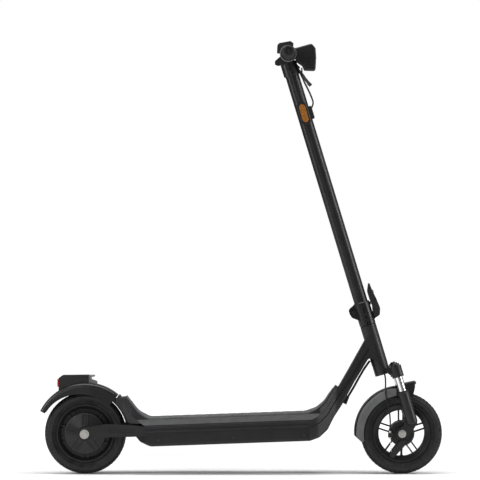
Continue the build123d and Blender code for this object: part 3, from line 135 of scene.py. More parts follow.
softbox("overhead_softbox", (0.0, -0.3, 3.2), (0, 0, 0.4), (3.2, 1.6), 95)
softbox("rear_strip", (-2.4, -0.9, 1.3), (0, 0, 0.6), (0.5, 2.4), 42)
softbox("front_strip", (2.5, -0.6, 1.3), (0.2, 0, 0.6), (0.5, 2.4), 46)
softbox("near_fill", (-1.6, -4.6, 1.6), (0, 0, 0.5), (1.2, 1.2), 26)


# ---------------------------------------------------------------- welded frame and deck structure
# Aluminium castings and extrusions: neck, down tube, head tube, side rails, rear arms and deck plate.
# They are welded together, blasted, and powder coated in one satin black.
def new_finish(name, tone, roughness):
    """A material with its shader and an Object-coordinates node, ready for a finish to build on."""
    material = bpy.data.materials.new(name)
    material.use_nodes = True
    nodes, links = material.node_tree.nodes, material.node_tree.links
    shader = nodes["Principled BSDF"]
    shader.inputs["Base Color"].default_value = (*tone, 1)
    shader.inputs["Roughness"].default_value = roughness
    shader.inputs["Specular IOR Level"].default_value = 0.3
    coords = nodes.new("ShaderNodeTexCoord")
    return material, nodes, links, shader, coords


def noise_on(nodes, links, coords, scale, detail=3.0, stretch=None):
    """Noise read from the piece's own axes, in metres, drawn out along an axis if asked."""
    noise = nodes.new("ShaderNodeTexNoise")
    noise.inputs["Scale"].default_value = scale
    noise.inputs["Detail"].default_value = detail
    if stretch is None:
        links.new(coords.outputs["Object"], noise.inputs["Vector"])
    else:
        mapping = nodes.new("ShaderNodeMapping")
        mapping.inputs["Scale"].default_value = stretch
        links.new(coords.outputs["Object"], mapping.inputs["Vector"])
        links.new(mapping.outputs["Vector"], noise.inputs["Vector"])
    return noise


def vary_tone(nodes, links, shader, source, dark, light, low=0.35, high=0.65):
    """Colour that drifts between two tones with a noise or a pattern."""
    ramp = nodes.new("ShaderNodeValToRGB")
    ramp.color_ramp.elements[0].position = low
    ramp.color_ramp.elements[1].position = high
    ramp.color_ramp.elements[0].color = (*dark, 1)
    ramp.color_ramp.elements[1].color = (*light, 1)
    links.new(source, ramp.inputs["Fac"])
    links.new(ramp.outputs["Color"], shader.inputs["Base Color"])


def vary_gloss(nodes, links, shader, source, low, high):
    """Roughness that drifts between two values, as handling and dust leave it."""
    spread = nodes.new("ShaderNodeMapRange")
    spread.inputs["From Min"].default_value = 0.3
    spread.inputs["From Max"].default_value = 0.7
    spread.inputs["To Min"].default_value = low
    spread.inputs["To Max"].default_value = high
    links.new(source, spread.inputs["Value"])
    links.new(spread.outputs["Result"], shader.inputs["Roughness"])


def raise_grain(nodes, links, shader, source, height, strength=1.0):
    """Surface relief of a given height in metres."""
    bump = nodes.new("ShaderNodeBump")
    bump.inputs["Distance"].default_value = height
    bump.inputs["Strength"].default_value = strength
    links.new(source, bump.inputs["Height"])
    links.new(bump.outputs["Normal"], shader.inputs["Normal"])


def powder_coat(name, tone, gloss, peel=0.00006):
    """Baked powder: fine orange peel, a slight drift in tone, and softer gloss where dust sits."""
    material, nodes, links, shader, coords = new_finish(name, tone, gloss)
    peel_noise = noise_on(nodes, links, coords, 900.0, 2.0)
    drift = noise_on(nodes, links, coords, 9.0, 4.0)
    dust = noise_on(nodes, links, coords, 40.0, 6.0)
    vary_tone(nodes, links, shader, drift.outputs["Fac"], [c * 0.8 for c in tone], [c * 1.25 for c in tone])
    vary_gloss(nodes, links, shader, dust.outputs["Fac"], gloss - 0.05, gloss + 0.07)
    raise_grain(nodes, links, shader, peel_noise.outputs["Fac"], peel)
    return material


def moulded_plastic(name, tone, gloss, grain=0.0001, cell=1400.0):
    """Spark-eroded mould grain on plastic, with faint flow marks in its tone."""
    material, nodes, links, shader, coords = new_finish(name, tone, gloss)
    cells = nodes.new("ShaderNodeTexVoronoi")
    cells.inputs["Scale"].default_value = cell
    links.new(coords.outputs["Object"], cells.inputs["Vector"])
    flow = noise_on(nodes, links, coords, 14.0, 5.0)
    vary_tone(nodes, links, shader, flow.outputs["Fac"], [c * 0.82 for c in tone], [c * 1.2 for c in tone])
    vary_gloss(nodes, links, shader, flow.outputs["Fac"], gloss - 0.04, gloss + 0.06)
    raise_grain(nodes, links, shader, cells.outputs["Distance"], grain)
    return material


def metal(name, tone, gloss, lines=(1.0, 1.0, 1.0), scale=600.0, depth=0.00002):
    """Bare or plated metal, with machining lines where lines stretches the grain."""
    material, nodes, links, shader, coords = new_finish(name, tone, gloss)
    shader.inputs["Metallic"].default_value = 1.0
    grain = noise_on(nodes, links, coords, scale, 3.0, lines)
    wear = noise_on(nodes, links, coords, 30.0, 5.0)
    vary_tone(nodes, links, shader, wear.outputs["Fac"], [c * 0.86 for c in tone], tone)
    vary_gloss(nodes, links, shader, grain.outputs["Fac"], gloss - 0.04, gloss + 0.08)
    raise_grain(nodes, links, shader, grain.outputs["Fac"], depth)
    return material


def coat_node(node, material, *zones):
    """Gives a CAD node its finish, and other finishes to the faces that a zone's test picks."""
    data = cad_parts[node].data
    data.materials.clear()
    data.materials.append(material)
    for test, other in zones:
        data.materials.append(other)
        place = len(data.materials) - 1
        for polygon in data.polygons:
            if test(polygon.center, polygon.normal):
                polygon.material_index = place


frame_black = powder_coat("frame_powder_coat", (0.0094, 0.0094, 0.0105), 0.36)
for node in ("neck_casting", "down_tube", "head_tube", "rear_arms", "deck_plate", "side_rails"):
    coat_node(node, frame_black)

# ---------------------------------------------------------------- bearings, motor and electrics inside
# Ground steel bearing rings, the laminated motor stator, the wrapped battery and the controller box.
# They sit inside the head tube, the hubs and the tray, held by the covers and bolts around them.
bearing_steel = metal("bearing_steel", (0.62, 0.61, 0.6), 0.22, (1, 14, 1))
for node in ("headset_bearings", "front_wheel_bearings", "rear_wheel_bearings"):
    coat_node(node, bearing_steel)
stator_laminations = metal("stator_laminations", (0.42, 0.24, 0.13), 0.4, (1, 30, 1), 400)
coat_node("motor_stator", stator_laminations)
coat_node("battery_pack", moulded_plastic("battery_wrap", (0.02, 0.05, 0.16), 0.3, 0.00005, 300))
coat_node("controller_box", metal("controller_alloy", (0.35, 0.35, 0.36), 0.4, (30, 1, 1)))

# ---------------------------------------------------------------- battery tray, rear cover and their bolts
# The tray is a moulded black pan bolted up under the rails; the cover closes the deck's rear end.
# Six slotted screws hold the tray through its sides.
tray_plastic = moulded_plastic("tray_moulding", (0.0066, 0.0066, 0.0072), 0.34, 0.00008)
cover_plastic = moulded_plastic("rear_cover_moulding", (0.0110, 0.0110, 0.0116), 0.42)
zinc = metal("zinc_plate", (0.58, 0.56, 0.52), 0.3)
black_zinc = metal("black_zinc", (0.05, 0.05, 0.052), 0.35)
coat_node("battery_tray", tray_plastic)
coat_node("kick_up_cover", cover_plastic)
coat_node("tray_bolts", black_zinc)
flap_rubber = moulded_plastic("flap_rubber", (0.0099, 0.0099, 0.0105), 0.62, 0.00012, 900)
coat_node("charge_flap", flap_rubber)

# ---------------------------------------------------------------- deck mat
# A moulded rubber mat glued to the deck plate and both ramps, with rows of raised grip bars.
# The bars are moulded in one piece with the mat, so they follow its slope.
deck_slope = radians(2.04)
mat_rubber = moulded_plastic("mat_rubber", (0.085, 0.086, 0.088), 0.62, 0.00018, 700)
coat_node("deck_mat", mat_rubber)


def add_mesh(name, mesh, material, body, sharp=35.0):
    """Turns a bmesh into a finished piece: smooth faces, sharp edges kept, riding on a body."""
    bmesh.ops.recalc_face_normals(mesh, faces=mesh.faces[:])
    for face in mesh.faces:
        face.smooth = True
    for edge in mesh.edges:
        if len(edge.link_faces) == 2 and edge.calc_face_angle(0.0) > radians(sharp):
            edge.smooth = False
    data = bpy.data.meshes.new(name)
    mesh.to_mesh(data)
    mesh.free()
    data.materials.append(material)
    piece = bpy.data.objects.new(name, data)
    scene.collection.objects.link(piece)
    if body is not None:
        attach(piece, body)
    return piece


def grip_bar(mesh, place, turn, size):
    """One raised bar with softened edges, laid at place and turned about the Y axis."""
    made = bmesh.ops.create_cube(mesh, size=1.0)
    verts = made["verts"]
    bmesh.ops.scale(mesh, vec=size, verts=verts)
    top_edges = {e for v in verts if v.co.z > 0 for e in v.link_edges if e.other_vert(v).co.z > 0}
    bevel = bmesh.ops.bevel(
        mesh, geom=list(top_edges), affect="EDGES", offset=size[2] * 0.45, segments=1,
        profile=0.5, material=-1,
    )
    kept = {v for v in verts if v.is_valid} | set(bevel["verts"])
    whole = set(kept)
    for vert in kept:
        for edge in vert.link_edges:
            whole.update(edge.verts)
    bmesh.ops.rotate(mesh, verts=list(whole), cent=(0, 0, 0), matrix=Matrix.Rotation(turn, 3, "Y"))
    bmesh.ops.translate(mesh, verts=list(whole), vec=place)


mat_bars = bmesh.new()
rail_ref_x = 0.026
rail_ref_z = 0.159  # top edge of the side rails at rail_ref_x
mat_above_rail = 0.023
bar_size = (0.026, 0.0034, 0.0016)
bar_lift = 0.0003
bar_pitch = 0.034
row_pitch = 0.0105
rows = 11
flat_rear_x = -0.268
flat_front_x = 0.186
x = flat_rear_x
while x < flat_front_x:
    for row in range(rows):
        shift = bar_pitch / 2 if row % 2 else 0.0
        y = (row - (rows - 1) / 2) * row_pitch
        z = rail_ref_z + mat_above_rail + (x + shift - rail_ref_x) * deck_slope
        grip_bar(mat_bars, (x + shift, y, z + bar_lift), -deck_slope, bar_size)
    x += bar_pitch
ramp_bar_length = 0.0045
ramp_bars = [
    (0.2105, 0.1937, -22, 0.100), (0.2412, 0.2105, -41, 0.084), (0.2608, 0.2332, -57, 0.062),
    (0.2769, 0.2572, -53, 0.048), (-0.2945, 0.1800, 28, 0.116), (-0.3185, 0.1967, 53, 0.106),
    (-0.3335, 0.2165, 53, 0.098),
]
for x, z, turn, width in ramp_bars:
    grip_bar(mat_bars, (x, 0, z), radians(turn), (ramp_bar_length, width, bar_size[2]))
mat_grip_bars = add_mesh("mat_grip_bars", mat_bars, mat_rubber, "frame")

# ---------------------------------------------------------------- rear fender, tail light and fold hook
# The fender and the lamp housing are injection moulded; the lens is red acrylic with a ribbed inner face.
# The pale hook in front of the lamp is there for the folded stem to catch on.
fender_gloss = moulded_plastic("fender_moulding", (0.0088, 0.0088, 0.0094), 0.26, 0.00003)
lamp_black = moulded_plastic("lamp_housing_black", (0.0066, 0.0066, 0.0072), 0.4)
hook_grey = moulded_plastic("hook_grey_moulding", (0.2, 0.203, 0.207), 0.42)
coat_node("rear_fender", fender_gloss)
coat_node("tail_light_housing", lamp_black)
coat_node("fold_hook", hook_grey)


def lens_finish(name, tone, ribs, depth, coat=0.6, glow=0.0):
    """Coloured acrylic over a ribbed reflector, seen as fine bands and a clear gloss on top."""
    material, nodes, links, shader, coords = new_finish(name, tone, 0.16)
    wave = nodes.new("ShaderNodeTexWave")
    wave.inputs["Scale"].default_value = ribs
    wave.bands_direction = "DIAGONAL"
    links.new(coords.outputs["Object"], wave.inputs["Vector"])
    vary_tone(nodes, links, shader, wave.outputs["Fac"], [c * 0.55 for c in tone], tone, 0.2, 0.8)
    raise_grain(nodes, links, shader, wave.outputs["Fac"], depth)
    shader.inputs["Coat Weight"].default_value = coat
    shader.inputs["Coat Roughness"].default_value = 0.06
    shader.inputs["Emission Color"].default_value = (*tone, 1)
    shader.inputs["Emission Strength"].default_value = glow
    return material


red_acrylic = lens_finish("red_acrylic", (0.5, 0.008, 0.012), 90.0, 0.0003, 0.7, 0.06)
coat_node("tail_light_lens", red_acrylic)

# ---------------------------------------------------------------- rear axle and kickstand
# The motor's axle is held in the arms by washers and hexagon nuts; the kickstand swings on its bracket's pin.
# All of it is plated steel except the stand and its bracket: the bracket is coated like the frame, and the
# stand is a coated bar with a rubber foot.
nickel = metal("nickel_plate", (0.5, 0.49, 0.46), 0.28)
coat_node("rear_axle_set", nickel)
coat_node("kickstand_bracket", frame_black)
foot_length = 0.0285
foot_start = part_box("kickstand_leg")[0].x + foot_length
stand_coat = powder_coat("stand_powder_coat", (0.0110, 0.0110, 0.0121), 0.4)
coat_node("kickstand_leg", stand_coat, (lambda c, n: c.x < foot_start, flap_rubber))

# ---------------------------------------------------------------- wheels
# A cast front wheel with paired spokes round a drum hub, and a hub-motor rear wheel with ribbed covers.
# Both are painted semi-gloss black before the bearings go in.
wheel_paint = powder_coat("wheel_paint", (0.0077, 0.0077, 0.0083), 0.3, 0.00004)
cover_paint = powder_coat("motor_cover_paint", (0.0110, 0.0110, 0.0116), 0.34, 0.00008)
coat_node("front_rim", wheel_paint)
coat_node("motor_shell", wheel_paint)
coat_node("motor_covers", cover_paint)

# ---------------------------------------------------------------- tyres
# Air-filled rubber tyres, moulded with a block tread, grooves round the shoulders and fine sidewall rings.
# The tread's blocks stand 1.8 mm above the carcass.
tyre_tone = (0.014, 0.014, 0.015)
tyre_dark, tyre_light = (0.006, 0.006, 0.0065), (0.015, 0.0148, 0.0145)
tyre_material, tyre_nodes, tyre_links, tyre_shader, tyre_coords = new_finish("tyre_rubber", tyre_tone, 0.6)
tyre_mottle = noise_on(tyre_nodes, tyre_links, tyre_coords, 60.0, 6.0)
tyre_pores = noise_on(tyre_nodes, tyre_links, tyre_coords, 1800.0, 2.0)
vary_tone(tyre_nodes, tyre_links, tyre_shader, tyre_mottle.outputs["Fac"], tyre_dark, tyre_light)
vary_gloss(tyre_nodes, tyre_links, tyre_shader, tyre_mottle.outputs["Fac"], 0.5, 0.72)
raise_grain(tyre_nodes, tyre_links, tyre_shader, tyre_pores.outputs["Fac"], 0.00006)

tyre_half_profile = [
    (0.0830, 0.0180), (0.0885, 0.0187), (0.0925, 0.0215), (0.0932, 0.0236), (0.0946, 0.0236),
    (0.0975, 0.0262), (0.1015, 0.0285), (0.1022, 0.0295), (0.1036, 0.0295), (0.1043, 0.0290),
    (0.1100, 0.0296), (0.1130, 0.0294), (0.1138, 0.0284), (0.1160, 0.0266), (0.1182, 0.0240),
    (0.1198, 0.0208), (0.1208, 0.0170), (0.1215, 0.0128), (0.1209, 0.0114), (0.1209, 0.0098),
    (0.1218, 0.0080), (0.1220, 0.0030), (0.1210, 0.0018),
]
tread_pitches = 62
block_share = 0.66
tread_lean = 2.6
tread_start_r = 0.116
tyre_half_width = 0.03
shoulder_start_r = 0.1150
shoulder_start_y = 0.0125
crown_start_r = 0.1214
crown_low_y, crown_high_y = 0.002, 0.0090
block_edge = 0.0003
block_taper = 0.0004
block_height = 0.0018


def tyre_piece(name, axle, body, node):
    """Spins the half profile and its mirror round the axle, then leans the pattern and raises its blocks."""
    mesh = bmesh.new()
    profile = tyre_half_profile + [(r, -y) for r, y in reversed(tyre_half_profile)]
    verts = [mesh.verts.new((r, y, 0)) for r, y in profile]
    edges = [mesh.edges.new(pair) for pair in zip(verts, verts[1:])]
    edges.append(mesh.edges.new((verts[-1], verts[0])))
    steps = tread_pitches * 2
    bmesh.ops.spin(
        mesh, geom=verts + edges, cent=(0, 0, 0), axis=(0, 1, 0), angle=2 * pi, steps=steps, use_merge=True
    )
    bmesh.ops.remove_doubles(mesh, verts=mesh.verts[:], dist=1e-6)
    bmesh.ops.recalc_face_normals(mesh, faces=mesh.faces[:])
    step_angle = 2 * pi / steps

    def step_of(c):
        return (atan2(c.z, c.x) % (2 * pi)) / step_angle

    blocks = []
    for face in mesh.faces:
        c = face.calc_center_median()
        r = (c.x**2 + c.z**2) ** 0.5
        shoulder = r > shoulder_start_r and abs(c.y) > shoulder_start_y
        crown = r > crown_start_r and crown_low_y < abs(c.y) < crown_high_y
        if (shoulder or crown) and int(step_of(c)) % 2 == 0:
            blocks.append(face)
    for vert in mesh.verts:
        r = (vert.co.x**2 + vert.co.z**2) ** 0.5
        place = round(step_of(vert.co))
        wider = (block_share - 0.5) * 2 if place % 2 else 0.0
        lean = tread_lean * abs(vert.co.y) / tyre_half_width if r > tread_start_r else 0.0
        angle = (place + wider + lean) * step_angle
        vert.co.x, vert.co.z = r * cos(angle), r * sin(angle)
    bmesh.ops.inset_region(mesh, faces=blocks, thickness=block_edge, depth=0.0, use_even_offset=True)
    bmesh.ops.inset_region(
        mesh, faces=blocks, thickness=block_taper, depth=block_height, use_even_offset=True
    )
    bmesh.ops.translate(mesh, verts=mesh.verts[:], vec=axle)
    piece = add_mesh(name, mesh, tyre_material, body, 28.0)
    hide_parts(node)
    return piece


front_low, front_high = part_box("front_tyre")
rear_low, rear_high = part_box("rear_tyre")
front_axle = (front_low + front_high) / 2
rear_axle = (rear_low + rear_high) / 2
tyre_piece("front_tyre_tread", front_axle, "front_wheel", "front_tyre")
tyre_piece("rear_tyre_tread", rear_axle, "rear_wheel", "rear_tyre")

# ---------------------------------------------------------------- tyre valves
# Rubber-covered brass stems pulled through the rims, each with a plastic screw cap.
# The front one points at the hub; the rear one is short and stands beside the wheel's web.
valve_rubber = moulded_plastic("valve_rubber", (0.0083, 0.0083, 0.0088), 0.5)
cap_plastic = moulded_plastic("valve_cap_plastic", (0.0165, 0.0165, 0.0165), 0.35)


def lathe(mesh, profile, steps=32):
    """Spins (radius, z) points about Z, which closes the shape where they reach the axis."""
    verts = [mesh.verts.new((r, 0, z)) for r, z in profile]
    edges = [mesh.edges.new(pair) for pair in zip(verts, verts[1:])]
    bmesh.ops.spin(
        mesh, geom=verts + edges, cent=(0, 0, 0), axis=(0, 0, 1), angle=2 * pi, steps=steps, use_merge=True
    )
    bmesh.ops.remove_doubles(mesh, verts=mesh.verts[:], dist=1e-6)


def point_along(mesh, direction, place):
    """Turns a mesh's own Z axis to a direction, then sets it at place."""
    turn = Vector((0, 0, 1)).rotation_difference(Vector(direction)).to_matrix()
    bmesh.ops.rotate(mesh, verts=mesh.verts[:], cent=(0, 0, 0), matrix=turn)
    bmesh.ops.translate(mesh, verts=mesh.verts[:], vec=place)


def lathed(name, profile, place, direction, material, body, steps=32):
    """A lathed piece that points along a direction from place."""
    mesh = bmesh.new()
    lathe(mesh, profile, steps)
    point_along(mesh, direction, place)
    piece = add_mesh(name, mesh, material, body)
    return piece


def valve(name, axle, angle, seat_r, length, aside, body):
    """A stem and its cap, which stand in from the rim's seat towards the axle, aside of its middle."""
    seat_gap = 0.0005
    out = Vector((cos(radians(angle)), 0, sin(radians(angle))))
    foot = axle + out * (seat_r + seat_gap) + Vector((0, aside, 0))
    stem = [(0, 0), (0.006, 0), (0.0058, 0.002), (0.0036, 0.004), (0.0032, length), (0, length)]
    cap = [
        (0, length - 0.005), (0.0038, length - 0.005), (0.0042, length - 0.0044),
        (0.0042, length + 0.0012), (0.0032, length + 0.0022), (0, length + 0.0024),
    ]
    lathed(name + "_stem", stem, foot, -out, valve_rubber, body)
    lathed(name + "_cap", cap, foot, -out, cap_plastic, body, 18)


valve("front_valve", front_axle, 270, 0.070, 0.022, 0, "front_wheel")
valve("rear_valve", rear_axle, 162, 0.075, 0.0095, -0.0115, "rear_wheel")

# ---------------------------------------------------------------- charging socket
# A moulded round socket with one plated pin is pressed into the tray's side, behind the rubber flap.
# The flap's plug stops just short of its rim.
socket_plastic = moulded_plastic("socket_plastic", (0.0120, 0.0120, 0.0126), 0.4, 0.00006)
pin_nickel = metal("pin_nickel", (0.66, 0.63, 0.57), 0.25)
flap_low, flap_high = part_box("charge_flap")
plug_gap = 0.0006
flap_disc_r = 0.012
socket_mouth = Vector(
    ((flap_low.x + flap_high.x) / 2, flap_low.y - plug_gap, flap_low.z + flap_disc_r)
)
socket_profile = [
    (0, -0.0075), (0.0090, -0.0075), (0.0090, -0.0004), (0.0086, 0), (0.0066, 0), (0.0062, -0.0004),
    (0.0062, -0.0060), (0, -0.0060),
]
pin_profile = [(0, -0.0062), (0.0012, -0.0062), (0.0012, -0.0014), (0.0007, -0.0008), (0, -0.0008)]
lathed("charge_socket", socket_profile, socket_mouth, (0, 1, 0), socket_plastic, "frame")
lathed("charge_pin", pin_profile, socket_mouth, (0, 1, 0), pin_nickel, "frame", 16)

# ---------------------------------------------------------------- fork
# A forged crown carries two hard-chromed stanchions, which slide in painted lower legs under rubber wipers.
# Springs inside hold the legs down; the drum brake's plate and the axle nuts close the hub.
hard_chrome = metal("hard_chrome", (0.78, 0.78, 0.8), 0.07, (1, 1, 1), 200, 0.000005)
spring_steel = metal("spring_steel", (0.4, 0.4, 0.42), 0.3)
wiper_rubber = moulded_plastic("wiper_rubber", (0.0110, 0.0110, 0.0116), 0.55)
head_angle = radians(16.9)
axle_offset = 0.002
steer_up = Vector((-sin(head_angle), 0, cos(head_angle)))
steer_ahead = Vector((cos(head_angle), 0, sin(head_angle)))
steer_origin = front_axle - Vector((axle_offset, 0, 0))


def up_fork(point):
    """Distance of a point up the steering axis from the axle."""
    return (Vector(point) - steer_origin).dot(steer_up)


def on_fork(ahead, across, up):
    """A point given ahead of, beside and up the steering axis."""
    return steer_origin + steer_ahead * ahead + Vector((0, across, 0)) + steer_up * up


coat_node("fork_crown", frame_black)
coat_node("fork_stanchions", hard_chrome)
coat_node("fork_springs", spring_steel)
wiper_start = 0.1172
coat_node("fork_legs", frame_black, (lambda c, n: up_fork(c) > wiper_start, wiper_rubber))
coat_node("steering_hardware", black_zinc)
coat_node("front_axle_set", nickel)
coat_node("brake_plate", cover_paint)
coat_node("brake_arm", cover_paint)
fender_grey = moulded_plastic("fender_side_grey", (0.10, 0.101, 0.103), 0.3, 0.00004)
fender_side_x = 0.470
coat_node("front_fender", fender_gloss, (lambda c, n: abs(n.y) > 0.8 and c.x < fender_side_x, fender_grey))

# ---------------------------------------------------------------- front brake cable
# A sheathed cable comes out of the hollow steerer and round the fender to the adjuster on the brake plate.
# Below the adjuster the bare inner wire pulls the brake arm.
cable_black = moulded_plastic("cable_sheath", (0.0066, 0.0066, 0.0072), 0.38, 0.00003)
barrel_top_z = front_axle.z + 0.008
coat_node("front_brake_cable", cable_black, (lambda c, n: c.z < barrel_top_z, zinc))
wire = bmesh.new()
wire_top = Vector((0.4526, -0.040, front_axle.z - 0.012))
wire_foot = Vector((0.4565, -0.0442, front_axle.z - 0.064))
wire_r = 0.0008
wire_sides = 10
bmesh.ops.create_circle(wire, cap_ends=True, segments=wire_sides, radius=wire_r)
point_along(wire, wire_foot - wire_top, wire_top)
wire_runs = 10
for i in range(wire_runs):
    caps = [f for f in wire.faces if len(f.verts) == wire_sides]
    end_face = max(caps, key=lambda f: (f.calc_center_median() - wire_top).length)
    made = bmesh.ops.extrude_face_region(wire, geom=[end_face])
    moved = [v for v in made["geom"] if isinstance(v, bmesh.types.BMVert)]
    bmesh.ops.translate(wire, verts=moved, vec=(wire_foot - wire_top) / wire_runs)
    if i:
        bmesh.ops.delete(wire, geom=[end_face], context="FACES_ONLY")
brake_wire = add_mesh("brake_inner_wire", wire, zinc, None)
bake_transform(brake_wire)

# ---------------------------------------------------------------- folding joint and latch
# The lower block is clamped on the steerer and the collar on the stem; a steel pin joins them at the back.
# The long lever at the front locks them, and a small button in it has to be pressed first.
joint_black = powder_coat("fold_joint_coat", (0.0077, 0.0077, 0.0083), 0.3)
lever_black = powder_coat("latch_lever_coat", (0.0110, 0.0110, 0.0116), 0.44)
button_grey = moulded_plastic("button_grey", (0.30, 0.30, 0.305), 0.4)
coat_node("fold_block", joint_black)
coat_node("fold_collar", joint_black)
coat_node("latch_lever", lever_black)
coat_node("latch_button", button_grey)

# ---------------------------------------------------------------- stem, head and handlebar
# The stem is a drawn aluminium tube bonded into its collar; a cast head on top clamps the bar.
# Two socket screws on the head's right side pin it to the tube.
stem_black = powder_coat("stem_powder_coat", (0.0088, 0.0088, 0.0099), 0.33)
coat_node("stem_tube", stem_black)
coat_node("stem_head", stem_black)
coat_node("handlebar", powder_coat("bar_anodising", (0.0077, 0.0077, 0.0083), 0.28))


def socket_screw(name, place, direction, radius, body, depth=0.0016):
    """A round-headed screw with a round socket sunk in its top, facing along direction."""
    mesh = bmesh.new()
    head = [
        (0, -depth), (radius, -depth), (radius, radius * 0.25), (radius * 0.82, radius * 0.5),
        (radius * 0.48, radius * 0.55),
    ]
    lathe(mesh, head, 24)
    rim = [e for e in mesh.edges if e.is_boundary]
    pit = bmesh.ops.extrude_edge_only(mesh, edges=rim)
    pit_verts = [v for v in pit["geom"] if isinstance(v, bmesh.types.BMVert)]
    bmesh.ops.translate(mesh, verts=pit_verts, vec=(0, 0, -radius * 0.5))
    bmesh.ops.contextual_create(mesh, geom=[e for e in mesh.edges if e.is_boundary])
    point_along(mesh, direction, place)
    piece = add_mesh(name, mesh, black_zinc, body)


head_side_y = -0.0226
for i, (ahead, up) in enumerate(((0.002, 1.146), (-0.002, 1.159))):
    socket_screw(f"stem_head_screw_{i}", on_fork(ahead, head_side_y, up), (0, -1, 0), 0.0030, "stem")

# ---------------------------------------------------------------- grips
# Soft rubber grips pushed over the bar ends, with rings for the fingers and a closed end.
# Their skin has a fine diamond texture between the rings.
grip_tone = (0.017, 0.017, 0.018)
grip_dark, grip_light = (0.007, 0.007, 0.0075), (0.015, 0.015, 0.0155)
grip_material, grip_nodes, grip_links, grip_shader, grip_coords = new_finish("grip_rubber", grip_tone, 0.58)
grip_cells = grip_nodes.new("ShaderNodeTexVoronoi")
grip_cells.distance = "MANHATTAN"
grip_cells.inputs["Scale"].default_value = 420.0
grip_links.new(grip_coords.outputs["Object"], grip_cells.inputs["Vector"])
grip_film = noise_on(grip_nodes, grip_links, grip_coords, 35.0, 5.0)
vary_tone(grip_nodes, grip_links, grip_shader, grip_film.outputs["Fac"], grip_dark, grip_light)
vary_gloss(grip_nodes, grip_links, grip_shader, grip_film.outputs["Fac"], 0.5, 0.68)
raise_grain(grip_nodes, grip_links, grip_shader, grip_cells.outputs["Distance"], 0.0003)
bar_low, bar_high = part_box("handlebar")
bar_centre = (bar_low + bar_high) / 2
grip_length = 0.128
grip_bore = 0.0115
grip_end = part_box("grips")[1].y - bar_centre.y
end_wall = 0.004
ring_count = 17
ring_pitch = 0.0062
ring_start = 0.0125
ring_depth = 0.0009
ring_r = 0.0164
waist = 0.0007  # how much slimmer the middle rings are
grip_profile = [
    (grip_bore, 0), (0.0190, 0), (0.0195, 0.0006), (0.0195, 0.0034), (0.0188, 0.0042), (0.0165, 0.0066),
]
for i in range(ring_count):
    start = ring_start + i * ring_pitch
    crest = ring_r - waist * sin(pi * i / (ring_count - 1))
    grip_profile += [(crest, start), (crest, start + 0.0034), (crest - ring_depth, start + 0.0041)]
    grip_profile += [(crest - ring_depth, start + 0.0055)]
grip_profile += [
    (0.0163, 0.1195), (0.0178, 0.1215), (0.0178, 0.1245), (0.0166, 0.1268), (0.0150, grip_length),
    (0.0112, grip_length), (0.0104, 0.1262), (0.0062, 0.1262), (0.0055, 0.1272), (0, 0.1272),
]
for side, name in ((-1, "right"), (1, "left")):
    grip = bmesh.new()
    lathe(grip, grip_profile, 48)
    bore_edges = [e for e in grip.edges if e.is_boundary]
    bore = bmesh.ops.extrude_edge_only(grip, edges=bore_edges)
    bore_verts = [v for v in bore["geom"] if isinstance(v, bmesh.types.BMVert)]
    bmesh.ops.translate(grip, verts=bore_verts, vec=(0, 0, grip_length - end_wall))
    bmesh.ops.contextual_create(grip, geom=[e for e in grip.edges if e.is_boundary])
    point_along(grip, (0, side, 0), bar_centre + Vector((0, side * (grip_end - grip_length), 0)))
    piece = add_mesh(f"{name}_grip_sleeve", grip, grip_material, "stem", 25.0)
    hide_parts("grips")

# ---------------------------------------------------------------- throttle and brake controls
# The thumb throttle sits in a round housing with a bright bezel ring; the brake lever pivots in its perch.
# Housing and paddle are moulded, the lever and perch are cast and anodised.
control_plastic = moulded_plastic("control_moulding", (0.0099, 0.0099, 0.0105), 0.4)
bezel_metal = metal("bezel_ring", (0.36, 0.36, 0.37), 0.3)
bezel_width = 0.00305
bezel_inner_r = 0.0221
bezel_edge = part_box("throttle_housing")[0].y + bezel_width


def is_bezel(c, n):
    """Faces of the ring at the housing's end: near the edge and far enough from the bar's axis."""
    off_bar = ((c.x - bar_centre.x) ** 2 + (c.z - bar_centre.z) ** 2) ** 0.5
    return off_bar > bezel_inner_r and c.y < bezel_edge


coat_node("throttle_housing", control_plastic, (is_bezel, bezel_metal))
coat_node("throttle_paddle", control_plastic)
anodised = powder_coat("lever_anodising", (0.0121, 0.0121, 0.0132), 0.3, 0.00003)
coat_node("brake_lever", anodised)
coat_node("brake_perch", anodised)

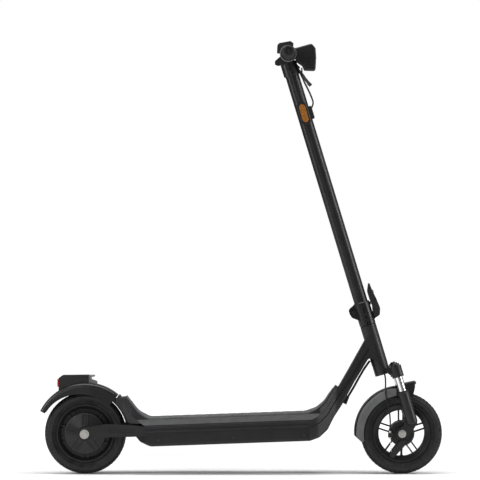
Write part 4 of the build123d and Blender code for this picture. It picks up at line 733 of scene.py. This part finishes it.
# ---------------------------------------------------------------- display and headlight
# The display clips on top of the bar clamp, with a dark window and a power button.
# The headlight hangs in front of it, with a bright bowl behind a clear lens.
display_black = moulded_plastic("display_moulding", (0.0077, 0.0077, 0.0083), 0.38)
window_black = moulded_plastic("display_window", (0.0022, 0.0022, 0.0028), 0.06, 0.000002, 200)
coat_node("display_housing", display_black)
coat_node("display_screen", window_black)
coat_node("power_button", button_grey)
coat_node("headlight_housing", lamp_black)
bowl = metal("reflector_bowl", (0.85, 0.85, 0.86), 0.08, (1, 1, 1), 150, 0.00001)
coat_node("headlight_reflector", bowl)
clear_tone = (0.95, 0.97, 1.0)
clear_finish = new_finish("clear_lens", clear_tone, 0.04)
clear_material, clear_nodes, clear_links, clear_shader, clear_coords = clear_finish
clear_shader.inputs["Transmission Weight"].default_value = 1.0
clear_shader.inputs["IOR"].default_value = 1.49
clear_rings = clear_nodes.new("ShaderNodeTexWave")
clear_rings.inputs["Scale"].default_value = 60.0
clear_rings.bands_direction = "Y"
clear_links.new(clear_coords.outputs["Object"], clear_rings.inputs["Vector"])
raise_grain(clear_nodes, clear_links, clear_shader, clear_rings.outputs["Fac"], 0.0002)
coat_node("headlight_lens", clear_material)

# ---------------------------------------------------------------- side reflectors, cable port and cables
# An amber reflector sits in a black bezel on each side of the stem; a boss in front takes the cables in.
# The cables are plain sheathed leads; the harness leaves the neck by a boot and runs under the down tube.
amber_acrylic = lens_finish("amber_acrylic", (0.33, 0.115, 0.008), 260.0, 0.00035, 0.5)
trim_black = moulded_plastic("trim_moulding", (0.0077, 0.0077, 0.0083), 0.45)


reflector_up = 1.0175
reflector_half_run = 0.0185
reflector_end_r = 0.0096
reflector_face_y = 0.0224


def is_amber(c, n):
    """Faces of the reflector inserts: outside the tube, inside the bezel's round-ended opening."""
    along = up_fork(c) - reflector_up
    ahead = (c - steer_origin).dot(steer_ahead)
    past_run = max(abs(along) - reflector_half_run, 0.0)
    return abs(c.y) > reflector_face_y and (past_run**2 + ahead**2) ** 0.5 < reflector_end_r


coat_node("stem_trim", trim_black, (is_amber, amber_acrylic))
coat_node("cockpit_cables", cable_black)
coat_node("wiring_harness", cable_black)
